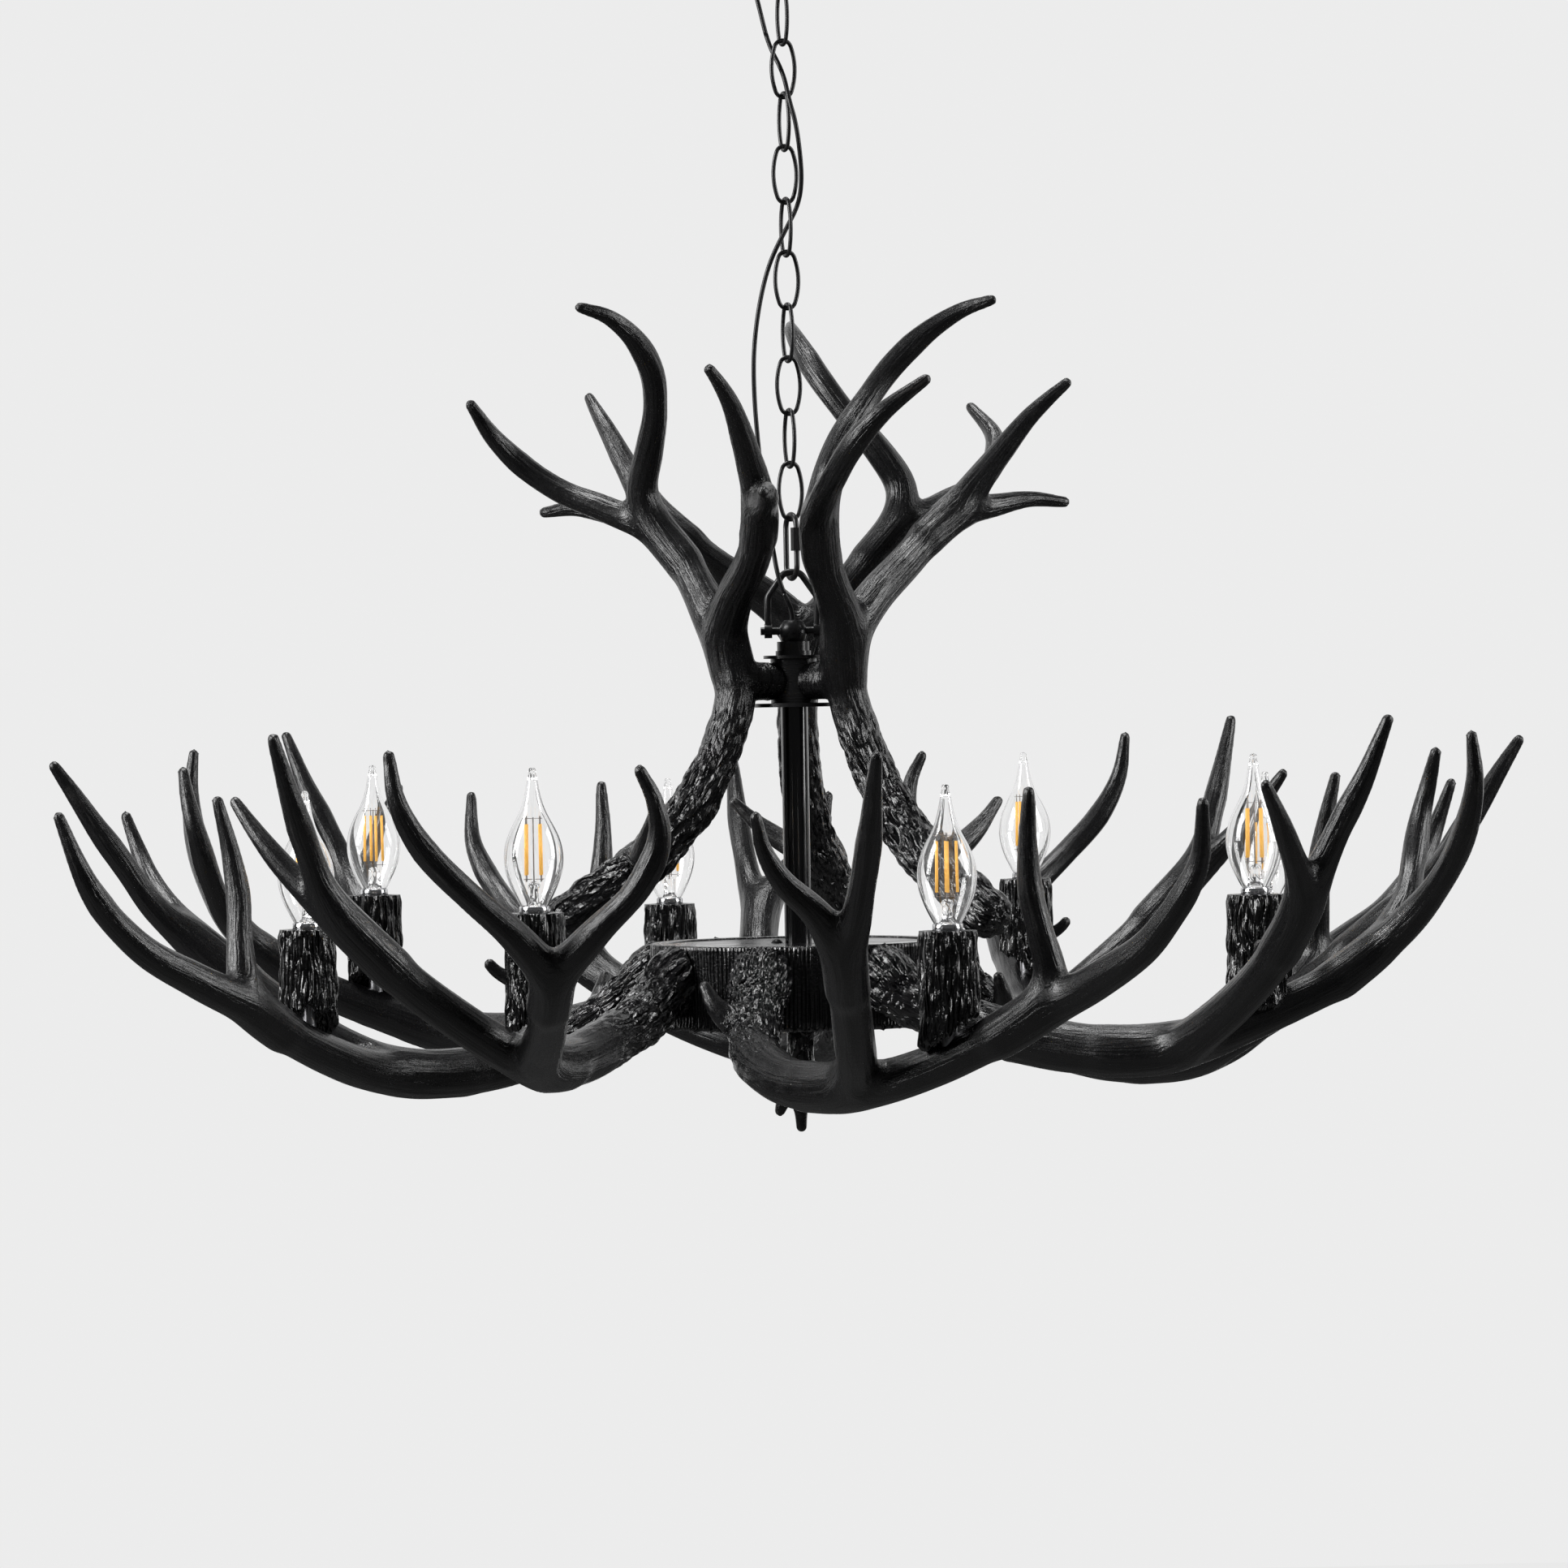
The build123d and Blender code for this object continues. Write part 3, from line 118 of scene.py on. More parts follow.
TALL_MOULD = {
    "beam": [
        (13, 9, 8, 20), (-2, -2, -3, 20.5), (-11, -14, -13, 17), (-26, -46, -27, 16.5),
        (-52, -100, -41, 16), (-71, -148, -46, 15), (-80, -192, -40, 14), (-77, -222, -30, 13),
        (-73, -250, -19, 12), (-70, -284, -2, 11.5), (-71, -310, 17, 11), (-87, -332, 40, 9.6),
        (-112, -347, 64, 8), (-138, -357, 92, 6.6), (-153, -361, 120, 5), (-158, -359, 148, 2.3),
    ],
    "front_prong": [
        (-70, -284, -2, 11), (-62, -309, 18, 10.5), (-40, -328, 42, 9), (-16, -336, 66, 7.5),
        (-2, -342, 93, 6.2), (-3, -348, 117, 4.6), (-12, -352, 137, 2.3),
    ],
    "side_branch": [
        (-68, -140, -46, 13), (-82, -176, -44, 13.5), (-109, -201, -28, 12.5),
        (-139, -223, -5, 12), (-168, -240, 21, 11.5), (-191, -252, 46, 10.8),
        (-206, -262, 71, 9.2), (-214, -273, 96, 7.6), (-222, -288, 126, 5.2),
        (-230, -301, 159, 2.3),
    ],
    "outer_prong": [
        (-168, -240, 21, 11), (-190, -249, 44, 10.5), (-212, -248, 64, 9),
        (-231, -241, 83, 7.2), (-247, -233, 103, 5), (-260, -225, 121, 2.3),
    ],
}
UPPER_AZIMUTH = 205.3
UPPER_MOULD = {
    "trunk": [
        (-110, -35, -150, 15.5), (-91, -30, -138, 16), (-67, -23, -121, 15.5),
        (-46, -18, -102, 15), (-27, -13, -78, 14.3), (-9, -6, -41, 13.5), (0, 0, -9, 13),
        (-4, 6, 17, 13.3), (-13, 12, 41, 13), (-22, 24, 60, 11.8), (-33, 37, 80, 11),
        (-49, 46, 102, 10.8), (-59, 46, 126, 10.2), (-54, 32, 152, 9), (-49, 12, 176, 8),
        (-50, -8, 200, 7), (-60, -27, 220, 5.8), (-76, -44, 234, 4.2), (-94, -56, 240, 2.3),
    ],
    "rear_prong": [
        (-33, 37, 80, 10), (-52, 50, 100, 10), (-84, 63, 115, 8.6), (-112, 72, 127, 7.4),
        (-137, 74, 144, 6), (-157, 64, 164, 4.6), (-170, 40, 184, 2.3),
    ],
    "front_branch": [
        (-2, 2, 8, 12), (-5, -2, 32, 12.5), (1, -22, 54, 11.8), (12, -52, 75, 11),
        (18, -78, 96, 10.6), (17, -101, 117, 10), (11, -122, 143, 8), (3, -142, 169, 6),
        (-4, -155, 183, 4.4), (-11, -165, 193, 2.3),
    ],
    "front_prong": [
        (17, -74, 93, 9.6), (19, -100, 108, 9.2), (23, -130, 114, 7.2), (23, -157, 118, 5),
        (21, -182, 116, 2.3),
    ],
    "brow": [
        (-58, -20, -114, 11), (-60, -42, -110, 8), (-56, -64, -96, 5.8), (-51, -81, -80, 2.6),
    ],
}
FINIAL_MOULD = {
    "stub": [
        (0, 0, 6, 9), (0, 0, -6, 9), (0, 0, -18, 8.4), (0, -1, -32, 7.4), (0, -1, -46, 5.8),
        (0, -1, -58, 4), (0, -1, -68, 2.3),
    ],
    "prong": [(0, 0, -24, 6), (-6, -2, -36, 5), (-11, -3, -47, 3.8), (-14, -3, -57, 2.2)],
}
NUB_MOULD = {
    "prong": [
        (-10, 0, -42, 5.2), (-16, 0, -39, 4.8), (-21, 0, -36.5, 4.2), (-25, 0, -33.5, 3.2),
        (-27.5, 0, -30.5, 1.6),
    ],
}

# the supply cable's corners: x, y and the height above the bow's pivot
BUSHING_PLACE = (-26.0, 12.0)
CABLE_ROUTE = [
    (-22, 10.5, 436), (-15, 7.5, 407), (-9.5, 6, 382), (0, 0, 363), (3.5, -10.5, 344),
    (7.5, -11, 330), (10, -8, 311), (11, -2, 292), (8.5, 3, 277), (0, 0, 261), (-9, -1.5, 244),
    (-14.5, -3, 228), (-19.5, -4, 205), (-22.5, -4.5, 180), (-22.5, -4, 152), (-20.5, -3, 122),
    (-18, -3, 95), (-14.5, -2.5, 70), (-11.5, -4.5, 50), (-9, -6, 35), (-4, -4.5, 21),
]
CANOPY_BOTTOM_Z = -26.0
CABLE_START_Z = -20.0         # inside the bushing
CABLE_FIRST_RUN = 17.0        # straight stretches, out of the canopy and into the knob
CABLE_LAST_RUN = 9.0
CABLE_END_Z = -492.9

# ---------------- camera
# found by fitting the lamps, the pan's rim and the stem; distances in metres, the lens in mm
CAMERA_DISTANCE = 4.004
HORIZON_Z = -0.5509
LENS = 141.47
SHIFT_X = -0.0066
SHIFT_Y = -0.0447
CAMERA_ROLL = math.radians(1.0)

camera_data = bpy.data.cameras.new("camera")
camera_data.lens = LENS
camera_data.sensor_width = 36.0
camera_data.shift_x = SHIFT_X
camera_data.shift_y = SHIFT_Y
camera_data.clip_start = 0.05
camera_data.clip_end = 100.0
camera = bpy.data.objects.new("camera", camera_data)
camera.location = (0, -CAMERA_DISTANCE, HORIZON_Z)
camera.rotation_euler = (math.radians(90), CAMERA_ROLL, 0)
bpy.context.scene.collection.objects.link(camera)
bpy.context.scene.camera = camera
bpy.context.scene.view_settings.view_transform = "Standard"


# ---------------- node helpers
def rgb(red, green, blue):
    return (red, green, blue, 1.0)


class Nodes:
    """short calls for building the node tree of a material or of the world"""

    def __init__(self, owner, shader="Principled BSDF"):
        owner.use_nodes = True
        self.owner = owner
        self.tree = owner.node_tree
        self.shader = self.tree.nodes[shader]

    def link(self, source, target):
        self.tree.links.new(source, target)

    def put(self, socket, value):
        """sets an input to a constant, or links it to another node's output"""
        if isinstance(value, (int, float, tuple)):
            socket.default_value = value
        else:
            self.link(value, socket)

    def set(self, **values):
        for key, value in values.items():
            self.put(self.shader.inputs[key.replace("_", " ")], value)

    def add(self, kind, inputs=None, **settings):
        node = self.tree.nodes.new(kind)
        for key, value in settings.items():
            setattr(node, key, value)
        for key, value in (inputs or {}).items():
            self.put(node.inputs[key], value)
        return node

    def attribute(self, name, output="Fac"):
        return self.add("ShaderNodeAttribute", attribute_name=name).outputs[output]

    def position(self):
        return self.add("ShaderNodeTexCoord").outputs["Object"]

    def noise(self, vector, scale, detail=2.0, roughness=0.5, distortion=0.0):
        return self.add("ShaderNodeTexNoise", {
            "Vector": vector, "Scale": scale, "Detail": detail, "Roughness": roughness,
            "Distortion": distortion,
        }).outputs["Fac"]

    def scaled(self, vector, scale):
        return self.add("ShaderNodeMapping", {"Vector": vector, "Scale": scale}).outputs["Vector"]

    def math(self, operation, first, second):
        return self.add("ShaderNodeMath", {0: first, 1: second}, operation=operation).outputs[0]

    def ramp(self, value, low, high, to_low=0.0, to_high=1.0):
        return self.add("ShaderNodeMapRange", {
            "Value": value, "From Min": low, "From Max": high, "To Min": to_low, "To Max": to_high,
        }, clamp=True, interpolation_type="SMOOTHSTEP").outputs["Result"]

    def mix_color(self, share, first, second):
        """one color passing into another; each is a constant or another node's output"""
        first, second = (rgb(*c) if isinstance(c, tuple) else c for c in (first, second))
        mix = self.add("ShaderNodeMix", data_type="RGBA")
        for index, value in ((0, share), (6, first), (7, second)):
            self.put(mix.inputs[index], value)
        return mix.outputs[2]

    def bent(self, vector, scale, amount):
        """a place moved about by noise"""
        wave = self.add("ShaderNodeTexNoise", {"Vector": vector, "Scale": scale, "Detail": 2.0})
        return self.add("ShaderNodeVectorMath", {
            0: wave.outputs["Color"], 1: (amount, amount, amount), 2: vector,
        }, operation="MULTIPLY_ADD").outputs["Vector"]

    def cells(self, vector, scale):
        """how far a place is from the creases between rounded cells"""
        edges = self.add(
            "ShaderNodeTexVoronoi", {"Vector": vector, "Scale": scale}, feature="DISTANCE_TO_EDGE"
        )
        return self.ramp(edges.outputs["Distance"], 0.0, 0.42)

    def bump(self, height, distance, strength=1.0, normal=None):
        inputs = {"Height": height, "Distance": distance, "Strength": strength}
        if normal is not None:
            inputs["Normal"] = normal
        return self.add("ShaderNodeBump", inputs).outputs["Normal"]


# ---------------- materials
RESIN_DARK, RESIN_LIGHT = (0.0022, 0.0022, 0.0027), (0.0052, 0.005, 0.0056)
# the darker bark colour fills the creases between cords: painted shade
BARK_DARK, BARK_LIGHT = (0.0012, 0.0012, 0.0015), (0.0048, 0.0046, 0.005)
# pale colour on crests and in specks: partly wear, partly painted glint
WORN_AND_GLINT_COLOR = (0.15, 0.145, 0.14)
EVEN = (1.0, 1.0, 1.0)


def antler_material():
    """near-black resin: grain along the limbs, glossy bark near the butts, pale edges and specks,
    partly wear and partly painted glints
    """
    n = Nodes(bpy.data.materials.new("antler_resin"))
    grain = n.attribute("grain", "Vector")
    bark, edge, fibre = n.attribute("bark"), n.attribute("edge"), n.attribute("fibre")
    fine = n.noise(grain, scale=0.7, detail=3.0, roughness=0.6)
    fibres = n.noise(grain, scale=0.36, detail=3.0, roughness=0.6, distortion=0.4)
    broad = n.noise(grain, scale=0.16, distortion=0.3)
    pores = n.noise(n.position(), scale=1100.0, detail=3.0, roughness=0.62)
    crumbs = n.noise(n.position(), scale=420.0)
    cloud = n.noise(n.position(), scale=45.0, detail=4.0, roughness=0.6)

    # crests and specks lightened: partly wear, partly painted glints along the fibres
    wear_and_glint = n.math("MULTIPLY", n.ramp(edge, 0.6, 1.0), n.ramp(fine, 0.5, 0.64))
    wear_and_glint = n.math("MULTIPLY", wear_and_glint, n.ramp(cloud, 0.42, 0.62))
    wear_and_glint_specks = n.math("MULTIPLY", n.ramp(pores, 0.66, 0.74), n.ramp(cloud, 0.5, 0.66))
    pale = n.math("MAXIMUM", n.math("MULTIPLY", wear_and_glint, 0.5), n.math("MULTIPLY", wear_and_glint_specks, 0.3))
    base = n.mix_color(broad, RESIN_DARK, RESIN_LIGHT)
    n.set(Base_Color=n.mix_color(pale, base, WORN_AND_GLINT_COLOR))
    smooth_limb = n.ramp(pores, 0.3, 0.7, to_low=0.25, to_high=0.38)
    n.set(Roughness=n.math("ADD", smooth_limb, n.math("MULTIPLY", bark, -0.14)))
    n.set(Coat_Weight=n.ramp(bark, 0.0, 1.0, to_low=0.2, to_high=0.4))
    n.set(Specular_IOR_Level=0.5, Coat_Roughness=0.16)

    furrows = n.math("MULTIPLY", n.math("ADD", broad, fibres), fibre)
    surface = n.bump(furrows, distance=0.0014, strength=0.9)
    surface = n.bump(fine, distance=0.0005, strength=0.8, normal=surface)
    surface = n.bump(pores, distance=0.00016, strength=0.6, normal=surface)
    place = n.bent(n.scaled(grain, (1.0, 1.0, 6.0)), scale=0.1, amount=10.0)
    ropes = n.math("ADD", n.cells(place, scale=0.165), n.math("MULTIPLY", crumbs, 0.07))
    ropes = n.math("MULTIPLY", ropes, bark)
    surface = n.bump(ropes, distance=0.003, normal=surface)
    n.set(Normal=surface, Coat_Normal=surface)
    return n.owner


def bark_material(name, across, stretch, depth):
    """glossy black cast bark: upright cords with creases between them, sizes in mm"""
    n = Nodes(bpy.data.materials.new(name))
    place = n.scaled(n.attribute("grain", "Vector"), (1.0, 1.0, stretch))
    cords = n.cells(n.bent(place, scale=0.14, amount=6.0), scale=1.0 / across)
    crumbs = n.noise(n.position(), scale=620.0)
    # the creases between the cords are painted darker: painted shade in the creases
    n.set(Base_Color=n.mix_color(cords, BARK_DARK, BARK_LIGHT))
    n.set(Roughness=n.ramp(crumbs, 0.3, 0.7, to_low=0.14, to_high=0.26))
    surface = n.bump(cords, distance=depth * MM)
    surface = n.bump(crumbs, distance=0.0003, strength=0.6, normal=surface)
    n.set(Normal=surface, Coat_Normal=surface, Coat_Weight=0.6, Coat_Roughness=0.1)
    return n.owner


def grained(name, color, roughness, scale, streak=EVEN, coat=0.0, depth=0.12, metallic=0.0):
    """paint, plating or plastic with a faint orange-peel or brushed grain, its depth in mm"""
    n = Nodes(bpy.data.materials.new(name))
    grain = n.noise(n.scaled(n.position(), streak), scale, detail=3.0, roughness=0.55)
    dark = tuple(channel * 0.75 for channel in color)
    n.set(Base_Color=n.mix_color(grain, dark, color), Metallic=metallic)
    n.set(Roughness=n.ramp(grain, 0.3, 0.7, to_low=roughness * 0.8, to_high=roughness * 1.25))
    n.set(Normal=n.bump(grain, distance=depth * MM, strength=0.5))
    if coat:
        n.set(Coat_Weight=coat, Coat_Roughness=0.08)
    return n.owner


def plain_glass():
    n = Nodes(bpy.data.materials.new("lamp_glass"))
    wave = n.noise(n.position(), scale=60.0)
    n.set(Base_Color=rgb(1.0, 1.0, 1.0), Roughness=0.0, IOR=1.45, Transmission_Weight=1.0)
    n.set(Normal=n.bump(wave, distance=0.00025, strength=0.35))
    return n.owner


def filament_material():
    n = Nodes(bpy.data.materials.new("filament"))
    grain = n.noise(n.scaled(n.position(), (1.0, 1.0, 3.0)), scale=400.0)
    n.set(Base_Color=n.mix_color(grain, (0.88, 0.40, 0.04), (0.98, 0.60, 0.13)))
    # a faint painted glow that brightens the filaments' amber
    n.set(Roughness=0.45, Emission_Color=rgb(1.0, 0.5, 0.08), Emission_Strength=0.3)
    return n.owner


antler_look = antler_material()
bark_look = bark_material("bark_gloss", across=4.0, stretch=0.6, depth=1.6)
flute_look = bark_material("flute_gloss", across=3.0, stretch=0.4, depth=0.35)
black = grained("black_paint", (0.014, 0.014, 0.015), 0.34, 600.0, coat=0.15)
brushed = grained("black_brushed", (0.03, 0.03, 0.031), 0.26, 500.0, (0.1, 0.1, 2.2), depth=0.6)
gloss = grained("black_gloss", (0.008, 0.008, 0.009), 0.13, 300.0, (1.0, 1.0, 0.2), coat=0.3)
mirror = grained("lid_gloss", (0.01, 0.01, 0.011), 0.2, 40.0)
zinc = grained("zinc_steel", (0.55, 0.55, 0.57), 0.32, 800.0, (1.0, 1.0, 0.3), metallic=1.0)
nickel = grained("lamp_ring_metal", (0.82, 0.82, 0.84), 0.14, 700.0, (1.0, 1.0, 0.2), metallic=1.0)
plastic = grained("black_plastic", (0.016, 0.016, 0.017), 0.45, 500.0)
orange = grained("connector_plastic", (0.75, 0.26, 0.04), 0.35, 500.0)
sheath = grained("cable_sheath", (0.012, 0.012, 0.013), 0.36, 350.0, (1.0, 1.0, 0.1))
wire = grained("lamp_wire", (0.25, 0.22, 0.2), 0.35, 500.0)
glass_look = plain_glass()
filament_look = filament_material()


# ---------------- mesh helpers
def make_piece(name, vertices, faces, material, smooth=True):
    """a mesh object from points in mm"""
    mesh = bpy.data.meshes.new(name)
    mesh.from_pydata([(x * MM, y * MM, z * MM) for x, y, z in vertices], [], faces)
    mesh.materials.append(material)
    if smooth:
        mesh.shade_smooth()
    mesh.update()
    piece = bpy.data.objects.new(name, mesh)
    bpy.context.scene.collection.objects.link(piece)
    return piece


def copy_turned(piece, name, azimuth):
    """another object with the same mesh, turned about the chandelier's axis"""
    twin = bpy.data.objects.new(name, piece.data)
    twin.matrix_world = Matrix.Rotation(math.radians(azimuth), 4, "Z")
    bpy.context.scene.collection.objects.link(twin)
    return twin


def store(piece, name, values):
    """a float or vector attribute, one value a point"""
    values = np.asarray(values, np.float32)
    kind, key = ("FLOAT", "value") if values.ndim == 1 else ("FLOAT_VECTOR", "vector")
    attribute = piece.data.attributes.new(name, kind, "POINT")
    attribute.data.foreach_set(key, values.ravel())


def noises(points, scale, seed=0.0):
    """smooth noise from -1 to 1 at each point"""
    shift = Vector((seed, seed * 0.7, seed * 1.3))
    return np.array([noise.noise(Vector(p) * scale + shift) for p in points])


def ridged(points, scale, seed=0.0):
    """noise with sharp crests, 0 to 1"""
    return 1.0 - np.minimum(1.0, 2.0 * np.abs(noises(points, scale, seed)))


def stretched(points, share):
    """points with their heights or lengths scaled, so that noise at them is drawn out"""
    return points * np.array((1.0, 1.0, share))


def finer(given, steps_between):
    """rows on a smooth curve through the given ones, with so many steps between each two"""
    given = np.array(given, float)
    padded = np.vstack([2 * given[0] - given[1], given, 2 * given[-1] - given[-2]])
    rows = []
    for index in range(1, len(given)):
        a, b, c, d = padded[index - 1:index + 3]
        steps = steps_between(b, c)
        for step in range(steps):
            t = step / steps
            rows.append(
                0.5 * (2 * b + (c - a) * t + (2 * a - 5 * b + 4 * c - d) * t**2
                       + (3 * b - a - 3 * c + d) * t**3)
            )
    rows.append(given[-1])
    return np.array(rows)


def polar(radius, azimuth):
    return radius * math.cos(math.radians(azimuth)), radius * math.sin(math.radians(azimuth))


# ---------------- limbs as a smooth distance field
VOXEL = 1.6
WEB = 13.0           # how far two limbs reach towards each other at a fork, mm
BOSS_WEB = 4.0
FIELD_MARGIN = 9.0
FINE_STEP = 5.0      # about how long a limb's steps are
TIP_RADIUS = 3.6     # the prongs end bluntly and are stout to their tips
TIP_FLARE = 0.07     # radius gained for each mm from the tip
TIP_REACH = 60.0
GRAIN_BLEND = 2.5    # over how many mm the grain passes from limb to limb at a fork
SLIM_RADIUS = 9.0    # on thinner limbs the relief is lower

# relief along the antlers: height in mm, and scale
SWELL, SWELL_SCALE = 0.9, 0.045
STREAK, STREAK_SCALE = 0.5, 0.13
FINE_STREAK, FINE_STREAK_SCALE = 0.2, 0.4
LUMP, LUMP_SCALE = 1.1, 0.13
SMALL_LUMP, SMALL_LUMP_SCALE = 0.6, 0.26
LUMP_BASE = 0.9
BARK_EDGE, BARK_EDGE_SCALE = 26.0, 0.035     # how raggedly the bark ends


class Limb:
    """one limb's smooth line, with radii, lengths and turning-free side directions"""

    def __init__(self, stations, seat, parents):
        given = [(x + seat[0], y + seat[1], z + seat[2], r) for x, y, z, r in stations]
        rows = finer(given, lambda b, c: max(2, int(np.linalg.norm(c[:3] - b[:3]) / FINE_STEP)))
        self.points = rows[:, :3]
        runs = np.linalg.norm(np.diff(self.points, axis=0), axis=1)
        self.along = np.concatenate([[0.0], np.cumsum(runs)])
        from_tip = self.along[-1] - self.along
        stout = TIP_RADIUS + TIP_FLARE * np.minimum(from_tip, TIP_REACH)
        self.radii = np.maximum(rows[:, 3], stout)
        side = np.array((1.0, 0.0, 0.0))
        if parents:
            nearest = min(
                parents, key=lambda p: np.linalg.norm(p.points - self.points[0], axis=1).min()
            )
            at = np.linalg.norm(nearest.points - self.points[0], axis=1).argmin()
            self.along = self.along + nearest.along[at]
            side = nearest.sides[min(at, len(nearest.sides) - 1)]
        self.sides, self.ups = [], []
        for start, end in zip(self.points, self.points[1:]):
            direction = (end - start) / np.linalg.norm(end - start)
            side = side - direction * side.dot(direction)
            side = side / np.linalg.norm(side)
            self.sides.append(side)
            self.ups.append(np.cross(direction, side))
        self.sides, self.ups = np.array(self.sides), np.array(self.ups)

    def locate(self, vertices):
        """distance, and place across and along the limb, of each point"""
        best = np.full(len(vertices), 1e9)
        across = np.zeros((len(vertices), 3))
        for index in range(len(self.points) - 1):
            a, b = self.points[index], self.points[index + 1]
            run = b - a
            t = np.clip((vertices - a) @ run / run.dot(run), 0, 1)
            off = vertices - (a + t[:, None] * run)
            radius = self.radii[index] + t * (self.radii[index + 1] - self.radii[index])
            distance = np.linalg.norm(off, axis=1) - radius
            nearer = distance < best
            best[nearer] = distance[nearer]
            length = self.along[index] + t * (self.along[index + 1] - self.along[index])
            place = np.column_stack([off @ self.sides[index], off @ self.ups[index], length])
            across[nearer] = place[nearer]
        return best, across


def rod_distance(axes, a, b, radius_a, radius_b):
    """how far each place of a grid is from a round-ended rod from a to b"""
    gx, gy, gz = np.meshgrid(*axes, indexing="ij")
    run = b - a
    t = ((gx - a[0]) * run[0] + (gy - a[1]) * run[1] + (gz - a[2]) * run[2]) / run.dot(run)
    t = np.clip(t, 0, 1)
    away = np.sqrt(
        (gx - a[0] - t * run[0]) ** 2 + (gy - a[1] - t * run[1]) ** 2
        + (gz - a[2] - t * run[2]) ** 2
    )
    return away - (radius_a + t * (radius_b - radius_a))


def field_of(limb, origin, shape):
    """the limb's distance on a grid, filled only near the limb"""
    field = np.full(shape, WEB + FIELD_MARGIN, np.float32)
    for index in range(len(limb.points) - 1):
        a, b = limb.points[index], limb.points[index + 1]
        radius_a, radius_b = limb.radii[index], limb.radii[index + 1]
        reach = max(radius_a, radius_b) + WEB
        low = np.floor((np.minimum(a, b) - reach - origin) / VOXEL).astype(int)
        high = np.ceil((np.maximum(a, b) + reach - origin) / VOXEL).astype(int) + 1
        low, high = np.maximum(low, 0), np.minimum(high, shape)
        axes = [origin[k] + VOXEL * np.arange(low[k], high[k]) for k in range(3)]
        block = tuple(slice(low[k], high[k]) for k in range(3))
        distance = rod_distance(axes, a, b, radius_a, radius_b)
        field[block] = np.minimum(field[block], distance)
    return field


def smooth_union(first, second, web=WEB):
    """the lesser of two distances, rounded where they are alike"""
    share = np.maximum(web - np.abs(first - second), 0.0) / web
    return np.minimum(first, second) - share * share * share * web / 6.0


CORNERS = np.array([(i, j, k) for i in (0, 1) for j in (0, 1) for k in (0, 1)])
CELL_EDGES = [
    (a, b) for a in range(8) for b in range(a + 1, 8)
    if np.abs(CORNERS[a] - CORNERS[b]).sum() == 1
]


def surface_of(field, origin):
    """points and four-sided faces of the field's zero surface"""
    inside = field < 0
    cells = tuple(size - 1 for size in field.shape)
    count = np.zeros(cells, np.int8)
    for i, j, k in CORNERS:
        count += inside[i:i + cells[0], j:j + cells[1], k:k + cells[2]]
    mixed = np.argwhere((count > 0) & (count < 8))
    number = np.full(cells, -1, np.int64)
    number[tuple(mixed.T)] = np.arange(len(mixed))
    values = [field[tuple((mixed + corner).T)] for corner in CORNERS]
    total = np.zeros((len(mixed), 3))
    crossings = np.zeros(len(mixed))
    for a, b in CELL_EDGES:
        crossed = (values[a] < 0) != (values[b] < 0)
        share = np.where(crossed, values[a] / np.where(crossed, values[a] - values[b], 1), 0)
        place = CORNERS[a] + share[:, None] * (CORNERS[b] - CORNERS[a])
        total += place * crossed[:, None]
        crossings += crossed
    points = origin + VOXEL * (mixed + total / crossings[:, None])
    faces = []
    for axis in range(3):
        one, two = (axis + 1) % 3, (axis + 2) % 3
        lower = [slice(None)] * 3
        upper = [slice(None)] * 3
        lower[axis], upper[axis] = slice(0, -1), slice(1, None)
        changes = inside[tuple(lower)] != inside[tuple(upper)]
        places = np.argwhere(changes)
        places = places[(places[:, one] > 0) & (places[:, two] > 0)]
        corners = []
        for back_one, back_two in ((1, 1), (0, 1), (0, 0), (1, 0)):
            cell = places.copy()
            cell[:, one] -= back_one
            cell[:, two] -= back_two
            corners.append(number[tuple(cell.T)])
        quads = np.column_stack(corners)
        starts_inside = inside[tuple(places.T)]
        quads[~starts_inside] = quads[~starts_inside][:, ::-1]
        faces.append(quads)
    return points, np.vstack(faces)


def relaxed(points, faces, rounds):
    """points moved halfway to the mean of their neighbours, some times over"""
    ends_a = np.concatenate([faces[:, k] for k in range(4)])
    ends_b = np.concatenate([faces[:, (k + 1) % 4] for k in range(4)])
    degree = np.bincount(ends_a, minlength=len(points))[:, None]
    for _ in range(rounds):
        total = np.zeros_like(points)
        for axis in range(3):
            total[:, axis] = np.bincount(ends_a, points[ends_b, axis], minlength=len(points))
        points = points + 0.5 * (total / degree - points)
    return points


def normals_of(points, faces):
    diagonal_a = points[faces[:, 2]] - points[faces[:, 0]]
    diagonal_b = points[faces[:, 3]] - points[faces[:, 1]]
    face_normals = np.cross(diagonal_a, diagonal_b)
    total = np.zeros_like(points)
    for corner in range(4):
        for axis in range(3):
            total[:, axis] += np.bincount(
                faces[:, corner], face_normals[:, axis], minlength=len(points)
            )
    return total / np.maximum(np.linalg.norm(total, axis=1), 1e-9)[:, None]


def joined_field(limbs, origin, shape, cut, rods):
    """the limbs' and rods' common distance, less the cylinder that they are cut round"""
    field = None
    for limb in limbs:
        own = field_of(limb, origin, shape)
        field = own if field is None else smooth_union(field, own)
    if cut is not None:
        axes = [origin[k] + VOXEL * np.arange(shape[k]) for k in range(3)]
        for first, second, radius in rods:
            rod = rod_distance(axes, np.array(first), np.array(second), radius, radius)
            field = smooth_union(field, rod, BOSS_WEB)
        gx, gy = np.meshgrid(axes[0], axes[1], indexing="ij")
        field = np.maximum(field, cut - np.sqrt(gx**2 + gy**2)[:, :, None])
    return field


